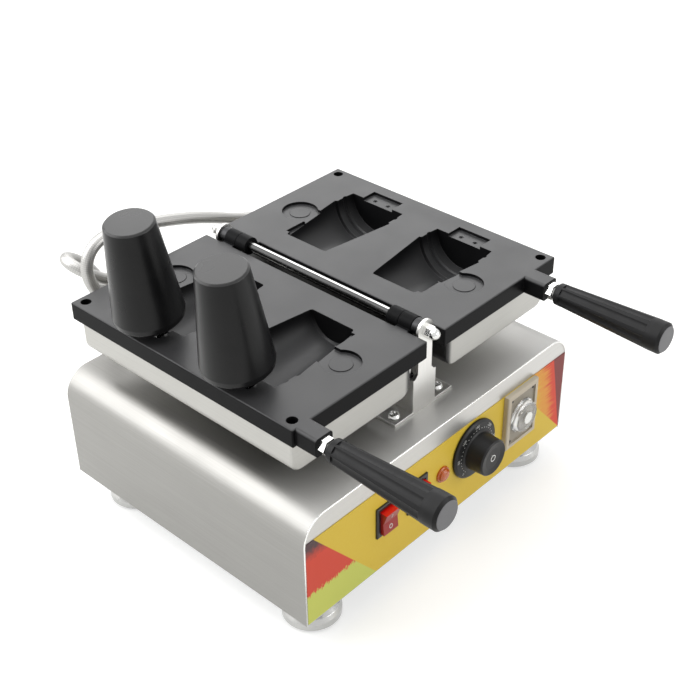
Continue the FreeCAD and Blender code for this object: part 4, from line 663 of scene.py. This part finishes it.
def tube(name, line, radius, material):
    """A ring carried along a line, turned as little as possible from ring to ring, closed at both ends."""
    step = np.gradient(line, axis=0)
    tangent = step / np.linalg.norm(step, axis=1)[:, None]
    side = np.zeros_like(line)
    side[0] = np.cross(tangent[0], [0, 0, 1])
    for i in range(1, len(line)):
        side[i] = side[i - 1] - tangent[i] * (side[i - 1] @ tangent[i])
        side[i] /= np.linalg.norm(side[i])
    other = np.cross(tangent, side)
    turn = np.linspace(0, 2 * math.pi, RING, endpoint=False)
    ring = np.cos(turn)[None, :, None] * side[:, None] + np.sin(turn)[None, :, None] * other[:, None]
    points = (line[:, None] + radius * ring).reshape(-1, 3)
    faces = quads(len(line), RING, closed=True)
    caps = [list(range(RING))[::-1], list(range(len(points) - RING, len(points)))]
    made = piece(name, points, [*faces.tolist(), *caps], material)
    along = np.r_[0, np.cumsum(np.linalg.norm(np.diff(line, axis=0), axis=1))]
    corner = np.zeros(len(made.data.loops), np.int32)
    made.data.loops.foreach_get("vertex_index", corner)
    seam = np.zeros(len(corner))
    seam[:faces.size] = np.tile([0, 1, 1, 0], len(faces)) * (faces[:, :1] % RING == RING - 1).repeat(4, 1).ravel()
    u = along[corner // RING] / BRAID_PITCH
    v = (corner % RING + seam * RING) / RING * BRAID_STARTS
    made.data.uv_layers.new(name="UVMap").data.foreach_set("uv", np.c_[u, v].ravel())
    return made, along[-1]


# where each hose lets go of the base and where it has wholly joined its plate
LIFT = {
    "conduit_right": ("right_plate", (-0.04, 0, 0), (0.08, 0, 0)),
    "conduit_left": ("left_plate", (-0.0018, 0.0044, -0.0092), (0.0159, -0.0385, 0.0809)),
}
for name, (body, start, end) in LIFT.items():
    route = ROUTES[name] + [(ENTRY_X[name], y, z) for y, z in ENTRY_BEND]
    line = spline_line(name, route)
    hose, length = tube(name + "_braid", line, CONDUIT_RADIUS, braid)
    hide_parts(name)
    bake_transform(hose)
    print(name, "mm:", round(length * 1000))

# %% [markdown]
# ## Screw heads with cross recesses
# The bracket's pan-head screws and the low screws of the core hinges have a cross recess. The head is a height over
# a disc: a flat dome that rolls off at the rim, less a cross of two crossed slots with sloping ends. A boolean cut
# would do it too, but leaves long thin faces that shade badly.

# %% Cross-recessed heads
SLOT_LONG, SLOT_WIDE = 0.5, 0.12               # half sizes, as shares of the head's radius
RECESS_EDGE, RECESS_SLOPE, RECESS_DEEP = 1.15, 0.3, 0.55


def cross_head(centre, radius, tall, rings=30, spokes=56):
    """Height over (r, t): tall * (1 - (r / R) ** 5) ** 0.6, less the recess, as a closed cap down to the seat.

    The recess is full where the nearer of the two slots, measured in its own half sizes, is well under one.
    """
    r, t = np.meshgrid(np.linspace(0, 1, rings), np.linspace(0, 2 * math.pi, spokes, endpoint=False), indexing="ij")
    x, y = r * np.cos(t), r * np.sin(t)
    along_x = np.maximum(np.abs(x) / SLOT_LONG, np.abs(y) / SLOT_WIDE)
    along_y = np.maximum(np.abs(y) / SLOT_LONG, np.abs(x) / SLOT_WIDE)
    recess = np.clip((RECESS_EDGE - np.minimum(along_x, along_y)) / RECESS_SLOPE, 0, 1)
    z = tall * (1 - r ** 5) ** 0.6 - RECESS_DEEP * tall * recess
    points = np.stack([x * radius + centre[0], y * radius + centre[1], z + centre[2]], -1).reshape(-1, 3)
    base = list(range(len(points) - spokes, len(points)))
    return points, [*quads(rings, spokes, closed=True).tolist(), base[::-1]]


def screw_set(name, places, radius, tall, body):
    """The heads of one set of screws as one piece that takes the place of their solids."""
    heads = piece(name + "_heads", *joined([cross_head(p, radius, tall) for p in places]), chrome, body)
    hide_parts(name)
    print(name, len(places))


BRACKET_SEATS = [(x, y, 0.1345) for x in (-0.0275, 0.0275) for y in (-0.1085, 0.1085)]
BLOCK_SEATS = [(-0.1387, row + offset, 0.2016) for row in (-0.051, 0.051) for offset in (-0.00775, 0.00775)]
screw_set("bracket_screws", BRACKET_SEATS, radius=0.005, tall=0.003, body="base")
screw_set("core_block_screws", BLOCK_SEATS, radius=0.0032, tall=0.0022, body="left_plate")

# %% [markdown]
# ## Print on the dial, rockers and timer
# Screen print is a film of ink that stands a little proud of what carries it. It could be drawn in the material by
# an image; as thin flat solids the marks stay sharp and turn with the knobs that carry them. Each is a disc, a ring,
# a bar or a number, made flat round the origin, moved out to its radius and turned to its clock angle.

# %% Inks and clear plastic
white_ink = moulded("white screen ink", "#e9e9e6", "#dcdcd8", 0.45, 0.55, 0.002)[0]
dark_ink = moulded("dark screen ink", "#2a2826", "#34322f", 0.45, 0.55, 0.002)[0]
scale_grey = moulded("grey printed scale", "#8d857a", "#98907f", 0.4, 0.5, 0.002)[0]
silver_cap = plated("satin silver cap", "#dcdcda", 0.22, 0.32)
acrylic = moulded("clear acrylic knob", "#f2f2f0", "#f6f6f4", 0.03, 0.08, 0.01, strength=0.01, IOR=1.49,
                  Transmission_Weight=0.92)[0]
clothe(acrylic, "timer_knob")


# %% Flat marks
def upright(flat, centre):
    """Flat (x, z) drawings with a height towards the front, set at a centre on the panel."""
    flat = np.asarray(flat)
    return np.stack([centre[0] + flat[:, 0], centre[1] - flat[:, 2], centre[2] + flat[:, 1]], -1)


def disc(radius, height, inner=0.0, sides=24):
    """A low round mark, or a ring: an outer wall, a flat top, and an inner wall if it has a hole."""
    t = np.linspace(0, 2 * math.pi, sides, endpoint=False)
    rings = [(radius, 0), (radius, height), (inner, height)] + ([(inner, 0)] if inner else [])
    points = np.concatenate([np.c_[r * np.cos(t), r * np.sin(t), np.full(sides, z)] for r, z in rings])
    return points, quads(len(rings), sides, closed=True).tolist()


def bar(width, tall, height):
    """A low rectangular mark with four walls and a top."""
    x, y = np.array([-1, 1, 1, -1]) * width / 2, np.array([-1, -1, 1, 1]) * tall / 2
    points = np.r_[np.c_[x, y, np.zeros(4)], np.c_[x, y, np.full(4, height)]]
    return points, [(0, 1, 5, 4), (1, 2, 6, 5), (2, 3, 7, 6), (3, 0, 4, 7), (4, 5, 6, 7)]


def word(text, tall, height):
    """A number as a flat mesh, centred on its own box."""
    data = bpy.data.curves.new("word", "FONT")
    data.body, data.size, data.extrude = text, tall * 1.4, height / 2
    data.align_x, data.align_y, data.resolution_u = "CENTER", "CENTER", 3
    holder = bpy.data.objects.new("word", data)
    bpy.context.collection.objects.link(holder)
    mesh = bpy.data.meshes.new_from_object(holder)
    points = np.zeros(len(mesh.vertices) * 3)
    mesh.vertices.foreach_get("co", points)
    faces = [list(p.vertices) for p in mesh.polygons]
    bpy.data.objects.remove(holder)
    bpy.data.meshes.remove(mesh)
    points = points.reshape(-1, 3)
    points[:, :2] -= (points[:, :2].max(0) + points[:, :2].min(0)) / 2
    points[:, 2] += height / 2
    return points, faces


def round_dial(part, radius, angle, lift=0.0):
    """A mark moved out to a radius and turned to stand upright at a clock angle."""
    points, faces = part
    c, s = math.cos(angle), math.sin(angle)
    x, y = points[:, 0], points[:, 1] + radius
    return np.stack([x * c + y * s, y * c - x * s, points[:, 2] + lift], -1), faces


PRINT = 0.00006   # thickness of an ink film
print("mark helpers ready")

# %% [markdown]
# The thermostat dial has a ring of white dots with plain numbers outside it, and a silver ring on its knob. Dots and
# numbers share one sweep of angles, so both are spread evenly over it.

# %% Dial print
DIAL = (0.0355, -0.1441, 0.082)
DIAL_SWEEP = 135   # degrees to either side of the top
DOT_COUNT, DOT_RADIUS, DOT_CIRCLE, DOT_LIFT = 28, 0.00045, 0.0213, 0.00393
NUMBERS = [str(n) for n in range(0, 301, 50)]
NUMBER_TALL, NUMBER_CIRCLE, NUMBER_LIFT = 0.0028, 0.0241, 0.00352
KNOB_FACE, RING_OUTER, RING_INNER, RING_TALL = 0.0212, 0.0032, 0.0025, 0.00015


def spread(sweep, count):
    """Evenly spaced clock angles in radians, from -sweep to sweep degrees."""
    return np.radians(np.linspace(-sweep, sweep, count))


dots = [
    round_dial(disc(DOT_RADIUS, PRINT, sides=10), DOT_CIRCLE, angle, DOT_LIFT)
    for angle in spread(DIAL_SWEEP, DOT_COUNT)
]
numbers = [
    round_dial(word(number, NUMBER_TALL, PRINT), NUMBER_CIRCLE, angle, NUMBER_LIFT)
    for number, angle in zip(NUMBERS, spread(DIAL_SWEEP, len(NUMBERS)))
]
marks, mark_faces = joined(dots + numbers)
piece("dial_print", upright(marks, DIAL), mark_faces, white_ink, "temperature_dial", smooth=False)
ring, ring_faces = disc(RING_OUTER, RING_TALL, inner=RING_INNER)
ring[:, 2] += KNOB_FACE
piece("dial_ring", upright(ring, DIAL), ring_faces, silver_cap, "temperature_dial", smooth=False)
print("marks on the dial:", len(dots) + len(numbers))

# %% [markdown]
# The rockers carry the line and ring marks of any mains switch. A rocker's face is a shallow V that stands tilted at
# rest, so each mark is lifted by the face's own height under it and then turned with it.

# %% Rocker marks
ROCKER_X = {"power": -0.077, "alarm": -0.039}
ROCKER_Y, ROCKER_Z, TILT = -0.1442, 0.079, math.radians(7)
ROCKER_WAIST, ROCKER_FLARE, ROCKER_HALF = 0.0042, 0.0021, 0.0099
MARK_PLACE, MARK_TALL = 0.0058, 0.0002
OFF_OUTER, OFF_INNER = 0.0021, 0.0015
ON_WIDE, ON_TALL = 0.0007, 0.0042
for name, x in ROCKER_X.items():
    parts = []
    off_mark, on_mark = disc(OFF_OUTER, MARK_TALL, inner=OFF_INNER), bar(ON_WIDE, ON_TALL, MARK_TALL)
    for (flat, faces), middle in ((off_mark, -MARK_PLACE), (on_mark, MARK_PLACE)):
        flat[:, 1] += middle
        flat[:, 2] += ROCKER_WAIST + ROCKER_FLARE * np.abs(flat[:, 1]) / ROCKER_HALF
        parts.append((flat, faces))
    flat, faces = joined(parts)
    y, z = -flat[:, 2], flat[:, 1]
    c, s = math.cos(TILT), math.sin(TILT)
    points = np.stack([x + flat[:, 0], ROCKER_Y + y * c - z * s, ROCKER_Z + y * s + z * c], -1)
    piece(f"{name}_rocker_marks", points, faces, white_ink, f"{name}_rocker", smooth=False)
    print(name, "rocker marks:", len(parts))

# %% [markdown]
# The timer has a grey scale plate, with ticks and figures, behind a clear knob with a silver cap. Every fifth tick
# is longer and wider. Four small pegs hold the plate at its corners.

# %% Timer plate, print and cap
TIMER = (0.100, -0.1471, 0.0825)
TIMER_SWEEP = 150   # degrees to either side of the top
PLATE_WIDE, PLATE_TALL, PLATE_THICK = 0.0346, 0.0486, 0.0001
TICK_COUNT, TICK_CIRCLE = 31, 0.0118
MINOR_TICK, MAJOR_TICK = (0.0004, 0.0012), (0.0007, 0.0022)
FIGURE_COUNT, FIGURE_TALL, FIGURE_CIRCLE = 7, 0.0022, 0.0086
PEG_RADIUS, PEG_TALL, PEG_X, PEG_Z = 0.0011, 0.0006, 0.0148, 0.0218
CAP_RADIUS, CAP_TALL, CAP_LIFT = 0.0058, 0.0012, 0.007
plate, plate_faces = bar(PLATE_WIDE, PLATE_TALL, PLATE_THICK)
piece("timer_scale_plate", upright(plate, TIMER), plate_faces, scale_grey, "base", smooth=False)
ticks = [
    round_dial(bar(*(MINOR_TICK if i % 5 else MAJOR_TICK), PRINT), TICK_CIRCLE, angle, PLATE_THICK)
    for i, angle in enumerate(spread(TIMER_SWEEP, TICK_COUNT))
]
figures = [
    round_dial(word(str(i), FIGURE_TALL, PRINT), FIGURE_CIRCLE, angle, PLATE_THICK)
    for i, angle in enumerate(spread(TIMER_SWEEP, FIGURE_COUNT))
]
pegs = [disc(PEG_RADIUS, PEG_TALL, sides=16) for _ in range(4)]
for (points, _), (x, y) in zip(pegs, ((-1, -1), (1, -1), (1, 1), (-1, 1))):
    points[:, 0] += x * PEG_X
    points[:, 1] += y * PEG_Z
scale, scale_faces = joined(ticks + figures + pegs)
piece("timer_scale_print", upright(scale, TIMER), scale_faces, dark_ink, "base", smooth=False)
cap, cap_faces = disc(CAP_RADIUS, CAP_TALL)
cap[:, 2] += CAP_LIFT
piece("timer_knob_cap", upright(cap, TIMER), cap_faces, silver_cap, "timer_knob", smooth=False)
print("marks on the timer:", len(ticks) + len(figures))

# %% [markdown]
# ## Last update

# %% Update the view layer
bpy.context.view_layer.update()
